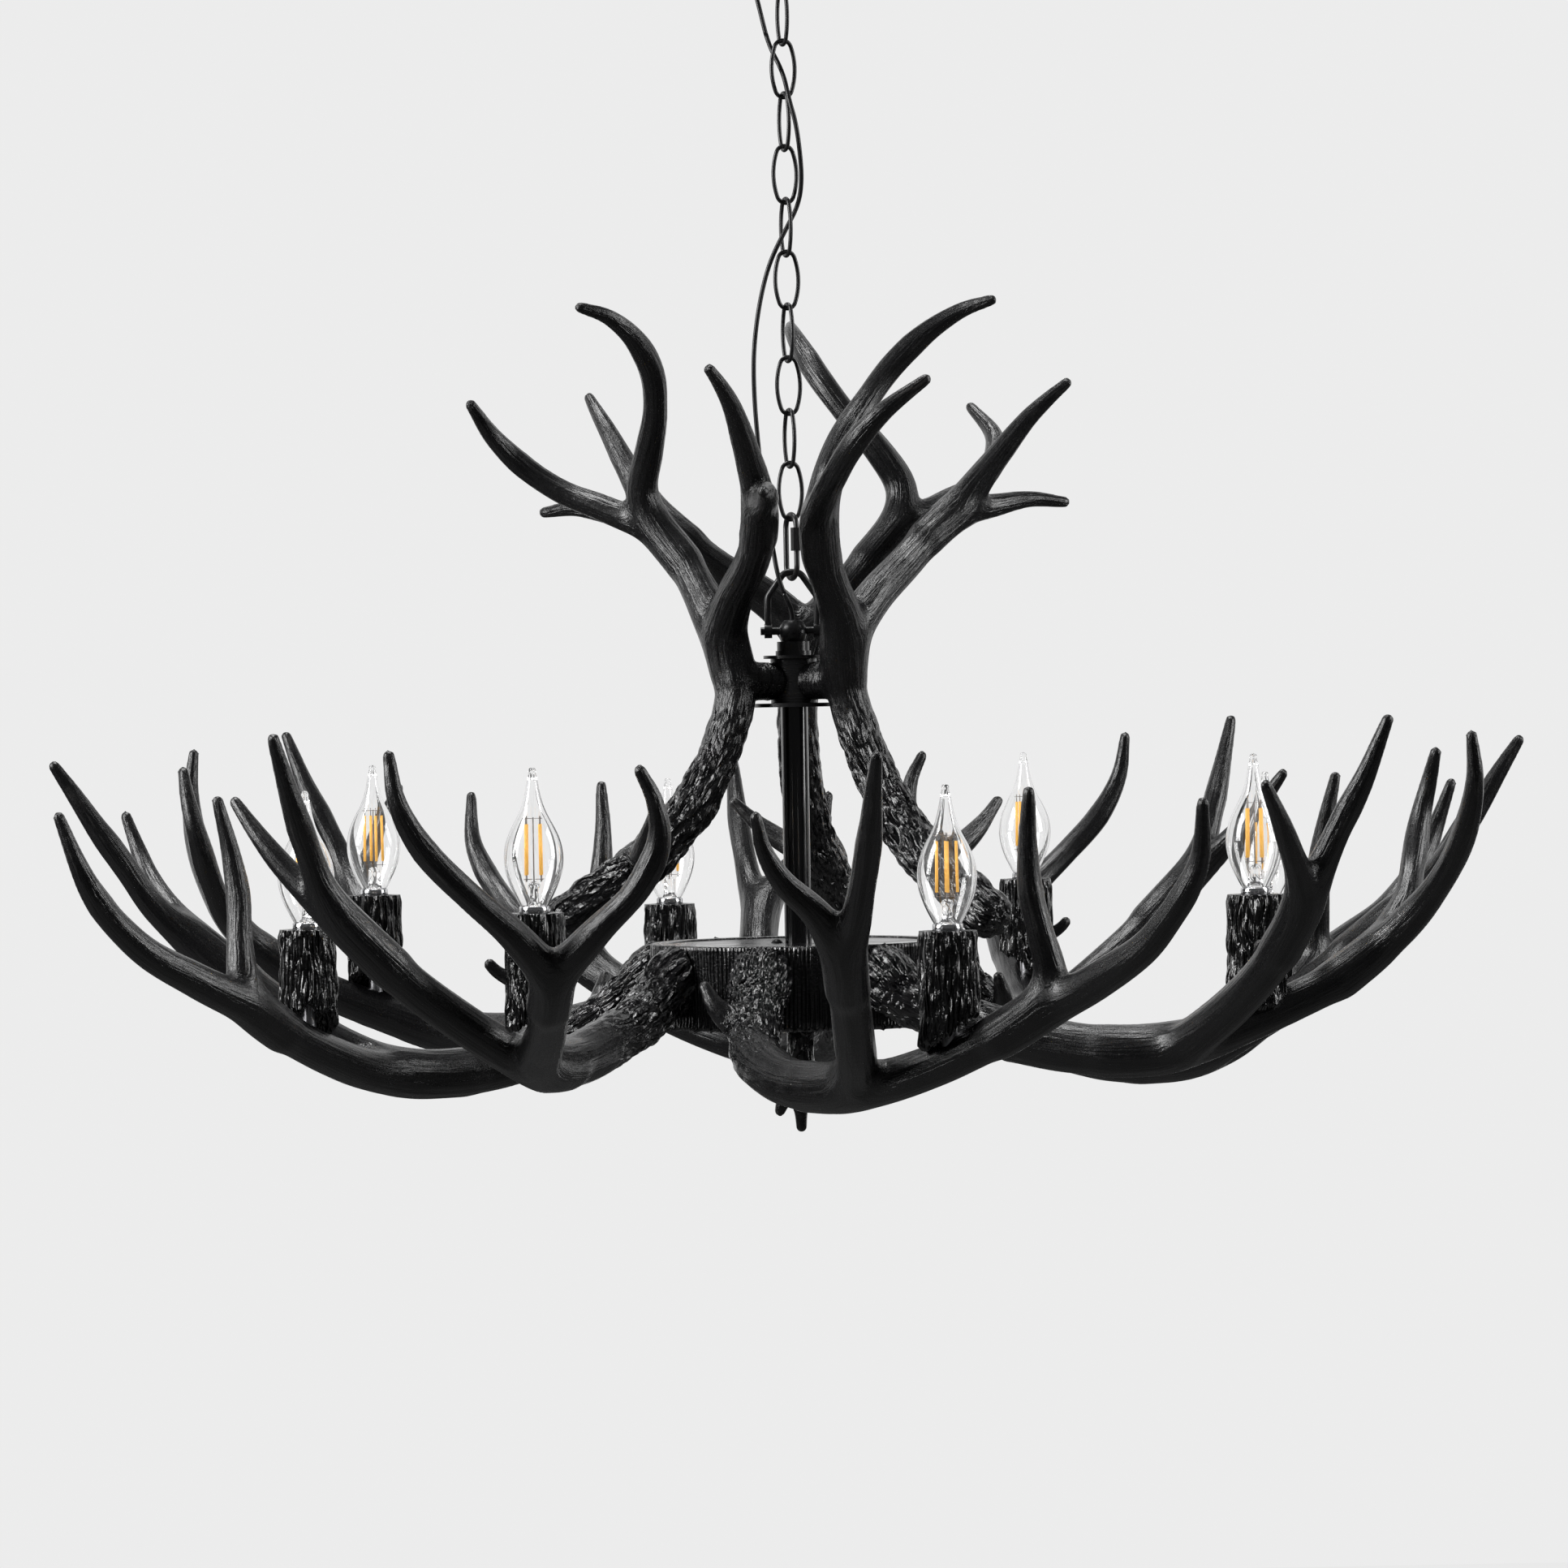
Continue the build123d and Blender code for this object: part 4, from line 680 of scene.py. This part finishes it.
def grown(
    name, mould, seat, bark_from, cut=None, rods=(), bark_height=1.8, fibre=0.5, seed=0.0
):
    """an antler's mesh: limbs joined by webs, with bark on its butt and grain along it"""
    limbs = []
    for stations in mould.values():
        limbs.append(Limb(stations, seat, limbs))
    reach = np.vstack([limb.points for limb in limbs] + [np.array(rod[:2]) for rod in rods])
    thick = max(limb.radii.max() for limb in limbs) + FIELD_MARGIN
    origin = reach.min(0) - thick
    shape = tuple(np.ceil((reach.max(0) + thick - origin) / VOXEL).astype(int) + 1)
    points, faces = surface_of(joined_field(limbs, origin, shape, cut, rods), origin)
    points = relaxed(points, faces, 2)
    normals = normals_of(points, faces)

    weights, brow_weight = np.zeros(len(points)), np.zeros(len(points))
    place = np.zeros((len(points), 3))
    for kind, limb in zip(mould, limbs):
        distance, across = limb.locate(points)
        weight = np.exp(-np.clip(distance, -20, 60) / GRAIN_BLEND)
        weights += weight
        place += weight[:, None] * across
        if kind == "brow":
            brow_weight += weight
    place /= weights[:, None]
    start, full = bark_from
    rough_edge = noises(points, BARK_EDGE_SCALE, seed + 3.0) * BARK_EDGE
    bark = np.clip((full - place[:, 2] - rough_edge) / (full - start), 0, 1)
    bark = bark * bark * (3 - 2 * bark)
    bark *= 1 - (brow_weight / weights) ** 2

    streaked = stretched(place, 0.05)
    lumpy = stretched(place, 0.42)
    swell = SWELL * noises(stretched(place, 0.5), SWELL_SCALE, seed)
    streaks = STREAK * ridged(streaked, STREAK_SCALE, seed + 5.0)
    streaks += FINE_STREAK * noises(streaked, FINE_STREAK_SCALE, seed + 9.0)
    lumps = LUMP_BASE - LUMP * ridged(lumpy, LUMP_SCALE, seed + 1.0)
    lumps -= SMALL_LUMP * ridged(lumpy, SMALL_LUMP_SCALE, seed + 2.0)
    moved = swell + streaks * (1 - bark) + bark_height * lumps * bark
    slimness = np.clip(np.linalg.norm(place[:, :2], axis=1) / SLIM_RADIUS, 0.25, 1.0)
    points = points + normals * (moved * slimness)[:, None]
    if cut is not None:
        from_axis = np.linalg.norm(points[:, :2], axis=1)
        short = from_axis < cut
        points[short, :2] *= (cut / from_axis[short])[:, None]

    flat = relaxed(points, faces, 6)
    ridge = np.einsum("ij,ij->i", points - flat, normals_of(points, faces))
    edge = np.clip(0.5 + ridge * 0.9, 0, 1)
    piece = make_piece(name, points.tolist(), faces.tolist(), antler_look)
    store(piece, "grain", streaked + np.array((seed, 0, 0)))
    store(piece, "bark", bark)
    store(piece, "edge", edge)
    store(piece, "fibre", np.full(len(points), fibre))
    return piece


def place_antlers(first_name, shape, numbers, step, prefix):
    """one moulded antler shown at each of its places"""
    for index, number in enumerate(numbers):
        name = f"{prefix}_{number}"
        piece = shape if index == 0 else copy_turned(shape, f"{first_name}_{number}", step * index)
        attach(piece, "fixture")
        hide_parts(name)


for azimuth, mould, numbers, seed in (
    (WIDE_BURR_AZIMUTH, WIDE_MOULD, (1, 3, 5, 7), 11.0),
    (TALL_BURR_AZIMUTH, TALL_MOULD, (2, 4, 6, 8), 23.0),
):
    seat = (*polar(PAN_RADIUS, azimuth), BURR_Z)
    shape = grown(
        f"antler_low_{numbers[0]}", mould, seat, (60.0, 150.0), cut=PAN_RADIUS, seed=seed
    )
    place_antlers("antler_low", shape, numbers, 90, "lower_antler")

boss = (*polar(COLLAR_RADIUS + BOSS_REACH, UPPER_AZIMUTH), BOSS_Z)
boss_foot = (*polar(COLLAR_RADIUS - 4, UPPER_AZIMUTH), BOSS_Z)
upper_shape = grown(
    "antler_high_1", UPPER_MOULD, boss, (110.0, 215.0), cut=COLLAR_RADIUS,
    rods=((boss_foot, boss, BOSS_RADIUS),), fibre=1.0, seed=37.0,
)
place_antlers("antler_high", upper_shape, (1, 2, 3), 120, "upper_antler")

finial_shape = grown(
    "finial_bark", FINIAL_MOULD, (0, 0, FLOOR_BOTTOM_Z), (30.0, 60.0), bark_height=1.0, seed=51.0
)
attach(finial_shape, "fixture")
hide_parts("finial")


# ---------------- candle cups
def grid_faces(rows, columns):
    """four-sided faces of a tube of points, rows by columns, closed round"""
    faces = []
    for row in range(rows - 1):
        for column in range(columns):
            after = (column + 1) % columns
            faces.append((
                row * columns + column, row * columns + after,
                (row + 1) * columns + after, (row + 1) * columns + column,
            ))
    return faces


def around(angles, radius, heights=0.0):
    """a ring of points, whose radius and height may change with the angle"""
    level = np.zeros(len(angles))
    return np.column_stack([np.cos(angles) * radius, np.sin(angles) * radius, level + heights])


CORDS = 22                    # upright cords of bark round a cup
CORD_PITCH = 2.0 * math.pi * CUP_RADIUS / CORDS
CORD_HEIGHT, CORD_WANDER = 2.6, 6.5
BORE_SHOWN = 4.0              # how deep the bore's wall is modelled
RIM_ROUND = 2.4               # from the flat top's edge out to the wall
TATTER, TEETH = 5.0, 2.6      # how raggedly the foot is broken, in mm


def bark_relief(angles, heights, seed):
    """upright wandering cords round a cup, in mm outwards"""
    place = around(angles, CUP_RADIUS, heights * 0.4)
    wander = CORD_WANDER * noises(place, 0.09, seed)
    phase = angles * CORDS / 2 + wander * math.pi / CORD_PITCH
    depth = 0.75 + 0.7 * noises(place, 0.16, seed + 2.0)
    small = ridged(stretched(place, 0.5), 0.36, seed + 4.0)
    patches = noises(stretched(place, 2.0), 0.09, seed + 7.0)
    return CORD_HEIGHT * depth * np.abs(np.sin(phase)) ** 0.7 - 1.4 - 0.9 * small + 0.8 * patches


def cup_mesh(name, centre, seed):
    """a broken-off bark stub: flat drilled top, ridged wall, jagged slanted foot"""
    columns, rows = 260, 100
    angles = np.linspace(0, 2 * math.pi, columns, endpoint=False)
    rings = [
        around(angles, CUP_BORE_RADIUS, -BORE_SHOWN), around(angles, CUP_BORE_RADIUS),
        around(angles, CUP_RADIUS - RIM_ROUND),
    ]
    foot = -CUP_HEIGHT + CUP_RADIUS * (1 + np.cos(angles)) * CUP_SLANT * 0.75
    foot += TATTER * noises(around(angles, 4), 0.9, seed)
    foot += TEETH * noises(around(angles, 9), 1.6, seed + 2)
    foot = np.maximum(foot, -CUP_HEIGHT)
    for share in np.linspace(0, 1, rows):
        heights = share * foot
        fade = min(1.0, share * 14)                   # the relief is low at the sawn rim
        belly = 0.5 + 0.9 * share**2 - 0.55 * (1 - fade)
        relief = bark_relief(angles, heights, seed) * (0.35 + 0.65 * fade) * 0.75
        drawn_in = max(0.0, share - 0.96) * 60        # towards the foot's middle
        rings.append(around(angles, CUP_RADIUS - 0.9 + belly + relief - drawn_in, heights))
    for shrink, lift in ((0.62, 4.0), (0.25, 8.0)):
        rings.append(around(angles, CUP_RADIUS * shrink, foot + lift))
    points = np.vstack([*rings, (0.0, 0.0, foot.mean() + 8.0)])
    faces = [face[::-1] for face in grid_faces(len(rings), columns)]
    last = (len(rings) - 1) * columns
    for column in range(columns):
        faces.append((len(points) - 1, last + (column + 1) % columns, last + column))
    piece = make_piece(name, (points + centre).tolist(), faces, bark_look)
    store(piece, "grain", stretched(points, 0.16) + np.array((seed, 0, 0)))
    return piece


lamp_centres = {}
for number in range(1, 9):
    low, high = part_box(f"lamp_{number}")
    lamp_centres[number] = (
        (low.x + high.x) / 2 / MM, (low.y + high.y) / 2 / MM, low.z / MM + LAMP_THREAD_LENGTH,
    )

for first in (1, 2):
    cup = cup_mesh(f"cup_bark_{first}", lamp_centres[first], 60.0 + first)
    nub = None
    if first == 2:
        nub = grown("cup_nub_2", NUB_MOULD, lamp_centres[2], (-90.0, -80.0), seed=71.0)
    for index in range(4):
        number = first + 2 * index
        twin = cup if index == 0 else copy_turned(cup, f"cup_bark_{number}", 90 * index)
        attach(twin, "fixture")
        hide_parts(f"candle_cup_{number}")
        if nub is not None:
            prong = nub if index == 0 else copy_turned(nub, f"cup_nub_{number}", 90 * index)
            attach(prong, "fixture")


# ---------------- lamps
def lathe(name, profile, columns, material):
    """a turned shape about z; a profile point on the axis becomes one point"""
    points, rows = [], []
    for radius, height in profile:
        if radius < 1e-6:
            rows.append([len(points)] * columns)
            points.append((0, 0, height))
            continue
        row = []
        for column in range(columns):
            angle = 2 * math.pi * column / columns
            row.append(len(points))
            points.append((radius * math.cos(angle), radius * math.sin(angle), height))
        rows.append(row)
    faces = []
    for lower, upper in zip(rows, rows[1:]):
        for column in range(columns):
            after = (column + 1) % columns
            corners = (lower[column], lower[after], upper[after], upper[column])
            face = tuple(dict.fromkeys(corners))
            if len(face) > 2:
                faces.append(face)
    return make_piece(name, points, faces, material)


# radius and height above the glass's foot
GLASS_OUTLINE = [
    (8.0, 0.0), (9.0, 1.4), (10.9, 5.0), (13.8, 11.0), (16.2, 17.5), (17.6, 23.5), (18.0, 29.0),
    (17.4, 35.5), (15.6, 42.0), (12.7, 48.5), (9.5, 54.5), (7.0, 60.0), (5.3, 65.5), (4.1, 71.0),
    (3.1, 76.5), (2.3, 80.2), (2.3, 82.0), (1.7, 83.4), (0.0, 84.0),
]


def rod_between(mesh, start, end, radius, sides):
    """adds a closed rod to a mesh's points and faces"""
    points, faces = mesh
    start, end = Vector(start), Vector(end)
    axis = (end - start).normalized()
    side = axis.orthogonal().normalized()
    up = axis.cross(side)
    base = len(points)
    for centre in (start, end):
        for index in range(sides):
            angle = 2 * math.pi * index / sides
            points.append(tuple(
                centre + radius * (math.cos(angle) * side + math.sin(angle) * up)
            ))
    for index in range(sides):
        after = (index + 1) % sides
        faces.append((base + index, base + after, base + sides + after, base + sides + index))
    faces.append(tuple(base + index for index in reversed(range(sides))))
    faces.append(tuple(base + sides + index for index in range(sides)))


SKIRT = 4.0                   # from the thread's top to the glass
GLASS_WALL = 0.8
HOLLOW_TOP = 77.0             # the glass's tip is solid above this
outer = [(max(0.0, float(r)), float(z)) for r, z in finer(GLASS_OUTLINE, lambda b, c: 3)]
inner = [(max(0.0, r - GLASS_WALL), z) for r, z in outer if z < HOLLOW_TOP]
inner[0] = (inner[0][0], inner[0][1] + 0.6)
closed = outer + [(0.0, HOLLOW_TOP + 1.0)] + inner[::-1] + [outer[0]]
glass_master = lathe("glass_1", [(r, z + SKIRT) for r, z in closed], 64, glass_look)

base_profile = [
    (0.0, -24.0), (2.4, -24.0), (3.2, -22.6), (5.6, -21.6), (6.4, -20.6), (6.85, -19.6),
    (6.85, -1.0), (8.9, -0.4), (9.2, 0.2), (9.2, 3.6), (8.8, 4.1), (8.1, 4.3), (0.0, 4.3),
]
base_master = lathe("lamp_ring_1", base_profile, 48, nickel)

stem_profile = [
    (0.0, 4.2), (5.0, 4.2), (5.2, 5.0), (4.6, 7.0), (4.3, 11.0), (4.1, 14.0), (3.6, 15.4),
    (3.8, 16.8), (3.0, 18.2), (1.4, 19.0), (0.0, 19.3),
]
stem_master = lathe("lamp_mount_1", stem_profile, 28, glass_look)
PINCH_LOW, PINCH_HIGH, PINCH = 6.0, 15.0, 0.6
for vertex in stem_master.data.vertices:
    if PINCH_LOW < vertex.co.z / MM < PINCH_HIGH:
        vertex.co.y *= PINCH

FILAMENT_RING = 6.3           # radius of the filaments' circle
LOW_RING, HIGH_RING = 20.5, 57.0
LEAN = 0.93                   # the circle's share that is left at its top
FILAMENT, POST, SPOKE, MAST = 0.95, 0.28, 0.18, 0.4     # radii
filaments, wires = ([], []), ([], [])
for index in range(4):
    x, y = polar(FILAMENT_RING, 35 + 90 * index)
    foot, head = (x, y), (x * LEAN, y * LEAN)
    rod_between(filaments, (*foot, LOW_RING + 2.5), (*head, HIGH_RING - 3.5), FILAMENT, 12)
    rod_between(wires, (*foot, LOW_RING - 1.5), (*foot, LOW_RING + 3.0), POST, 8)
    rod_between(wires, (*head, HIGH_RING - 4.0), (*head, HIGH_RING + 1.6), POST, 8)
    rod_between(wires, (x * 1.3, y * 1.3, LOW_RING), (x * 0.2, y * 0.2, LOW_RING), SPOKE, 6)
    rod_between(wires, (x * 1.2, y * 1.2, HIGH_RING), (0, 0, HIGH_RING), SPOKE, 6)
rod_between(wires, (0, 0, 17.0), (0, 0, HIGH_RING + 0.6), MAST, 10)
filament_master = make_piece("filament_1", *filaments, filament_look)
wire_master = make_piece("lamp_wires_1", *wires, wire)

masters = {
    "glass": glass_master, "lamp_ring": base_master, "lamp_mount": stem_master,
    "filament": filament_master, "lamp_wires": wire_master,
}
for number in range(1, 9):
    x, y, z = lamp_centres[number]
    for label, master in masters.items():
        twin = master if number == 1 else copy_turned(master, f"{label}_{number}", 0)
        twin.location = (x * MM, y * MM, z * MM)
        twin.rotation_euler = (0, 0, math.radians(17 + 41 * number))
        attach(twin, f"lamp_{number}")
        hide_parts(f"lamp_{number}")


# ---------------- pan
FLUTES = 215
FLUTE_PITCH = 2.0 * math.pi * PAN_RADIUS / FLUTES
FLUTE_HEIGHT, FLUTE_WANDER = 1.3, 3.0
PAN_INSIDE, LEDGE_RADIUS, FOOT_RADIUS = 92.0, 82.0, 94.0
RIM_THICKNESS, LID_THICKNESS = 5.0, 2.0


def pan_mesh():
    """the pan's shell: fluted bark wall with a jagged lower edge, plain rim and inner lip"""
    columns, rows = 1440, 26
    angles = np.linspace(0, 2 * math.pi, columns, endpoint=False)
    circle = around(angles, PAN_RADIUS)
    ledge_z, seat_z = RIM_Z - RIM_THICKNESS, LID_TOP_Z - LID_THICKNESS
    rings = [around(angles, radius, height) for radius, height in (
        (PAN_INSIDE, PAN_BOTTOM_Z + 1.5), (PAN_INSIDE, ledge_z), (LEDGE_RADIUS, ledge_z),
        (LEDGE_RADIUS, seat_z), (LID_RADIUS, seat_z), (LID_RADIUS, RIM_Z - 0.3),
        (LID_RADIUS + 0.4, RIM_Z),
    )]
    flutes = np.abs(np.sin(angles * PAN_RADIUS * math.pi / FLUTE_PITCH))
    rim_wave = 0.5 * flutes + 0.6 * noises(circle, 0.06, 82.0)
    for inset in (3.2, 1.3):
        rings.append(around(angles, PAN_RADIUS - inset + rim_wave * 0.3, RIM_Z))
    torn = noises(circle, 0.5, 85.0)
    low_edge = PAN_BOTTOM_Z + 0.6 + 1.6 * ridged(circle, 0.2, 84.0) + 1.5 * (torn + 0.5)
    for share in np.linspace(0, 1, rows):
        heights = (RIM_Z - 0.8) + share * (low_edge - RIM_Z + 0.8)
        place = around(angles, PAN_RADIUS, heights * 0.1)
        wander = FLUTE_WANDER * noises(stretched(place, 2.0), 0.04, 86.0)
        phase = (angles * PAN_RADIUS + wander) * math.pi / FLUTE_PITCH
        depth = 0.75 + 0.5 * noises(stretched(place, 3.0), 0.11, 88.0)
        relief = FLUTE_HEIGHT * depth * np.abs(np.sin(phase)) ** 0.7
        lip = 1.2 * max(0.0, share - 0.92) / 0.08 * (torn > -0.1)
        rings.append(around(angles, PAN_RADIUS - 1.0 + relief + lip, heights))
    rings.append(around(angles, FOOT_RADIUS, low_edge + 0.4))
    points = np.vstack(rings)
    faces = grid_faces(len(rings), columns)
    last = (len(rings) - 1) * columns
    for column in range(columns):
        after = (column + 1) % columns
        faces.append((last + column, last + after, after, column))
    faces = [face[::-1] for face in faces]
    piece = make_piece("pan_bark", points.tolist(), faces, flute_look)
    store(piece, "grain", stretched(points, 0.12))
    return piece


pan = pan_mesh()
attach(pan, "fixture")
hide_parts("pan_shell")


# ---------------- supply cable
def line_through(name, route):
    """points along a NURBS spline whose control points are the route's, in mm"""
    curve = bpy.data.curves.new(name, "CURVE")
    curve.dimensions = "3D"
    spline = curve.splines.new("NURBS")
    spline.points.add(len(route) - 1)
    for point, place in zip(spline.points, route):
        point.co = (*(value * MM for value in place), 1.0)
    spline.order_u = 3
    spline.use_endpoint_u = True
    spline.resolution_u = 10
    line = bpy.data.objects.new(name, curve)
    bpy.context.scene.collection.objects.link(line)
    bpy.context.view_layer.update()
    centre = bpy.data.meshes.new_from_object(line)
    path = np.array([vertex.co for vertex in centre.vertices]) / MM
    bpy.data.objects.remove(line)
    return path


def tube_along(name, path, radius, material, sides=14):
    """a closed round tube whose rings stand on the path's points"""
    points = []
    side = Vector((1, 0, 0))
    count = len(path)
    for index in range(count):
        before, after = path[max(index - 1, 0)], path[min(index + 1, count - 1)]
        along = Vector(after - before).normalized()
        side = (side - along * side.dot(along)).normalized()
        up = along.cross(side)
        for step in range(sides):
            angle = 2 * math.pi * step / sides
            points.append(tuple(
                Vector(path[index]) + radius * (math.cos(angle) * side + math.sin(angle) * up)
            ))
    faces = grid_faces(count, sides)
    faces.append(tuple(reversed(range(sides))))
    faces.append(tuple((count - 1) * sides + step for step in range(sides)))
    return make_piece(name, points, faces, material)


cable_corners = [
    (*BUSHING_PLACE, CABLE_START_Z), (*BUSHING_PLACE, CANOPY_BOTTOM_Z - CABLE_FIRST_RUN),
    *((x, y, PIVOT_Z + rise) for x, y, rise in CABLE_ROUTE),
    (0, 0, CABLE_END_Z + CABLE_LAST_RUN), (0, 0, CABLE_END_Z),
]
cable_path = line_through("cable_line", cable_corners)

# a stretch's name, its top, and the one or two bodies at its ends; one with a single body is
# attached to it, one with two is left unattached
CABLE_STAGES = (
    ("cable_a", CABLE_START_Z, "canopy", "top_link"),
    ("cable_b", -64.0, "top_link", "chain"),
    ("cable_c", -110.0, "chain", None),
    ("cable_d", -395.0, "chain", "quick_link"),
    ("cable_e", -443.0, "quick_link", "bow"),
    ("cable_f", -472.0, "bow", "fixture"),
)
starts = [int(np.abs(cable_path[:, 2] - top).argmin()) for _, top, _, _ in CABLE_STAGES]
starts.append(len(cable_path) - 1)
for (name, _, body, other), start, end in zip(CABLE_STAGES, starts, starts[1:]):
    section = tube_along(name, cable_path[start:end + 1], CABLE_RADIUS, sheath)
    if other:
        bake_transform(section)
    else:
        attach(section, body)
    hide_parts("supply_cable")

# ---------------- looks of the CAD nodes that stay
CAD_LOOKS = {
    black: ("canopy", "canopy_loop", "canopy_ring_nut", "top_chain_link", "chain", "quick_link",
            "quick_link_sleeve", "bow", "knob", "hub_top_plate", "hub_bottom_plate", "lid_screw",
            "pan_floor"),
    brushed: ("hub_collar",),
    gloss: ("stem",),
    mirror: ("pan_lid",),
    zinc: ("crossbar", "loop_lock_nut", "hub_studs", "center_rod", "rod_nuts", "bolt_washers",
           "antler_bolts", "cup_nipples"),
    plastic: ("cable_bushing", "lamp_sockets"),
    orange: ("wire_connectors",),
    sheath: ("stem_lead",),
}
for look, names in CAD_LOOKS.items():
    for name in names:
        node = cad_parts[name]
        node.data.materials.clear()
        node.data.materials.append(look)

# ---------------- stage and light
FLOOR_Z = -1950.0             # mm, as the wall's sizes
FLOOR_HALF_WIDTH = 60000.0
WALL_Y, WALL_HALF_WIDTH, WALL_TOP_Z = 6000.0, 12000.0, 5000.0
BACKGROUND = 0.84
FLOOR_GLOW = 0.92             # the rest of the floor is lit, and keeps the object's shadow
FLOOR_STRENGTH = 1.04
REFLECTED_BACKGROUND = 0.04   # share of the surroundings' brightness that reflections show
AMBIENT = 0.05


def seen_share(n, in_gloss):
    """1 for what the camera sees, straight or through glass, and in_gloss for reflections"""
    paths = n.add("ShaderNodeLightPath")
    seen = n.math("MAXIMUM", paths.outputs["Is Camera Ray"], paths.outputs["Is Transmission Ray"])
    return n.math("MAXIMUM", seen, n.math("MULTIPLY", paths.outputs["Is Glossy Ray"], in_gloss))


def lay_over(n, share, kind, strength, output):
    """lays a plain brightness over the tree's own shader by a share"""
    glow = n.add(kind, {"Color": rgb(BACKGROUND, BACKGROUND, BACKGROUND), "Strength": strength})
    mix = n.add("ShaderNodeMixShader", {0: share, 1: n.shader.outputs[0], 2: glow.outputs[0]})
    n.link(mix.outputs[0], n.tree.nodes[output].inputs["Surface"])


floor_nodes = Nodes(bpy.data.materials.new("floor"))
seen = seen_share(floor_nodes, 0.0)
# darker to all other rays, so that it throws little light up under the antlers
floor_color = floor_nodes.mix_color(seen, (0.12, 0.12, 0.12), (0.7, 0.7, 0.7))
floor_nodes.set(Base_Color=floor_color, Roughness=0.8)
glow_share = floor_nodes.math("MULTIPLY", seen, FLOOR_GLOW)
lay_over(floor_nodes, glow_share, "ShaderNodeEmission", FLOOR_STRENGTH, "Material Output")
half = FLOOR_HALF_WIDTH
floor = make_piece(
    "floor",
    [(-half, -half, FLOOR_Z), (half, -half, FLOOR_Z),
     (half, half, FLOOR_Z), (-half, half, FLOOR_Z)],
    [(0, 1, 2, 3)], floor_nodes.owner, smooth=False,
)
floor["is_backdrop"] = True

# a pale wall far behind, which gloss at a grazing angle shows
wall_nodes = Nodes(bpy.data.materials.new("wall"))
wall_nodes.set(Base_Color=rgb(0.7, 0.7, 0.7), Roughness=0.8)
lay_over(wall_nodes, seen_share(wall_nodes, 1.0), "ShaderNodeEmission", 1.0, "Material Output")
half = WALL_HALF_WIDTH
wall = make_piece(
    "wall",
    [(-half, WALL_Y, FLOOR_Z), (half, WALL_Y, FLOOR_Z),
     (half, WALL_Y, WALL_TOP_Z), (-half, WALL_Y, WALL_TOP_Z)],
    [(0, 1, 2, 3)], wall_nodes.owner, smooth=False,
)
wall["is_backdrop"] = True

world_nodes = Nodes(bpy.data.worlds.new("studio"), "Background")
world_nodes.set(Color=rgb(0.95, 0.97, 1.0), Strength=AMBIENT)
world_share = seen_share(world_nodes, REFLECTED_BACKGROUND)
lay_over(world_nodes, world_share, "ShaderNodeBackground", 1.0, "World Output")
bpy.context.scene.world = world_nodes.owner


def area_light(name, place, target, width, height, power):
    """a soft rectangular lamp aimed at a point, in metres and watts"""
    data = bpy.data.lights.new(name, "AREA")
    data.shape = "RECTANGLE"
    data.size, data.size_y = width, height
    data.energy = power
    light = bpy.data.objects.new(name, data)
    light.location = place
    direction = Vector(target) - Vector(place)
    light.rotation_euler = direction.to_track_quat("-Z", "Y").to_euler()
    bpy.context.scene.collection.objects.link(light)


MIDDLE = (0, 0, -0.6)
area_light("key", (-2.6, -0.9, 0.5), MIDDLE, 1.2, 2.2, 104)
area_light("side", (2.7, -0.4, 0.3), MIDDLE, 0.9, 2.0, 46)
area_light("top", (-0.3, 0.3, 1.8), MIDDLE, 1.0, 1.0, 40)

low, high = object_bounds()
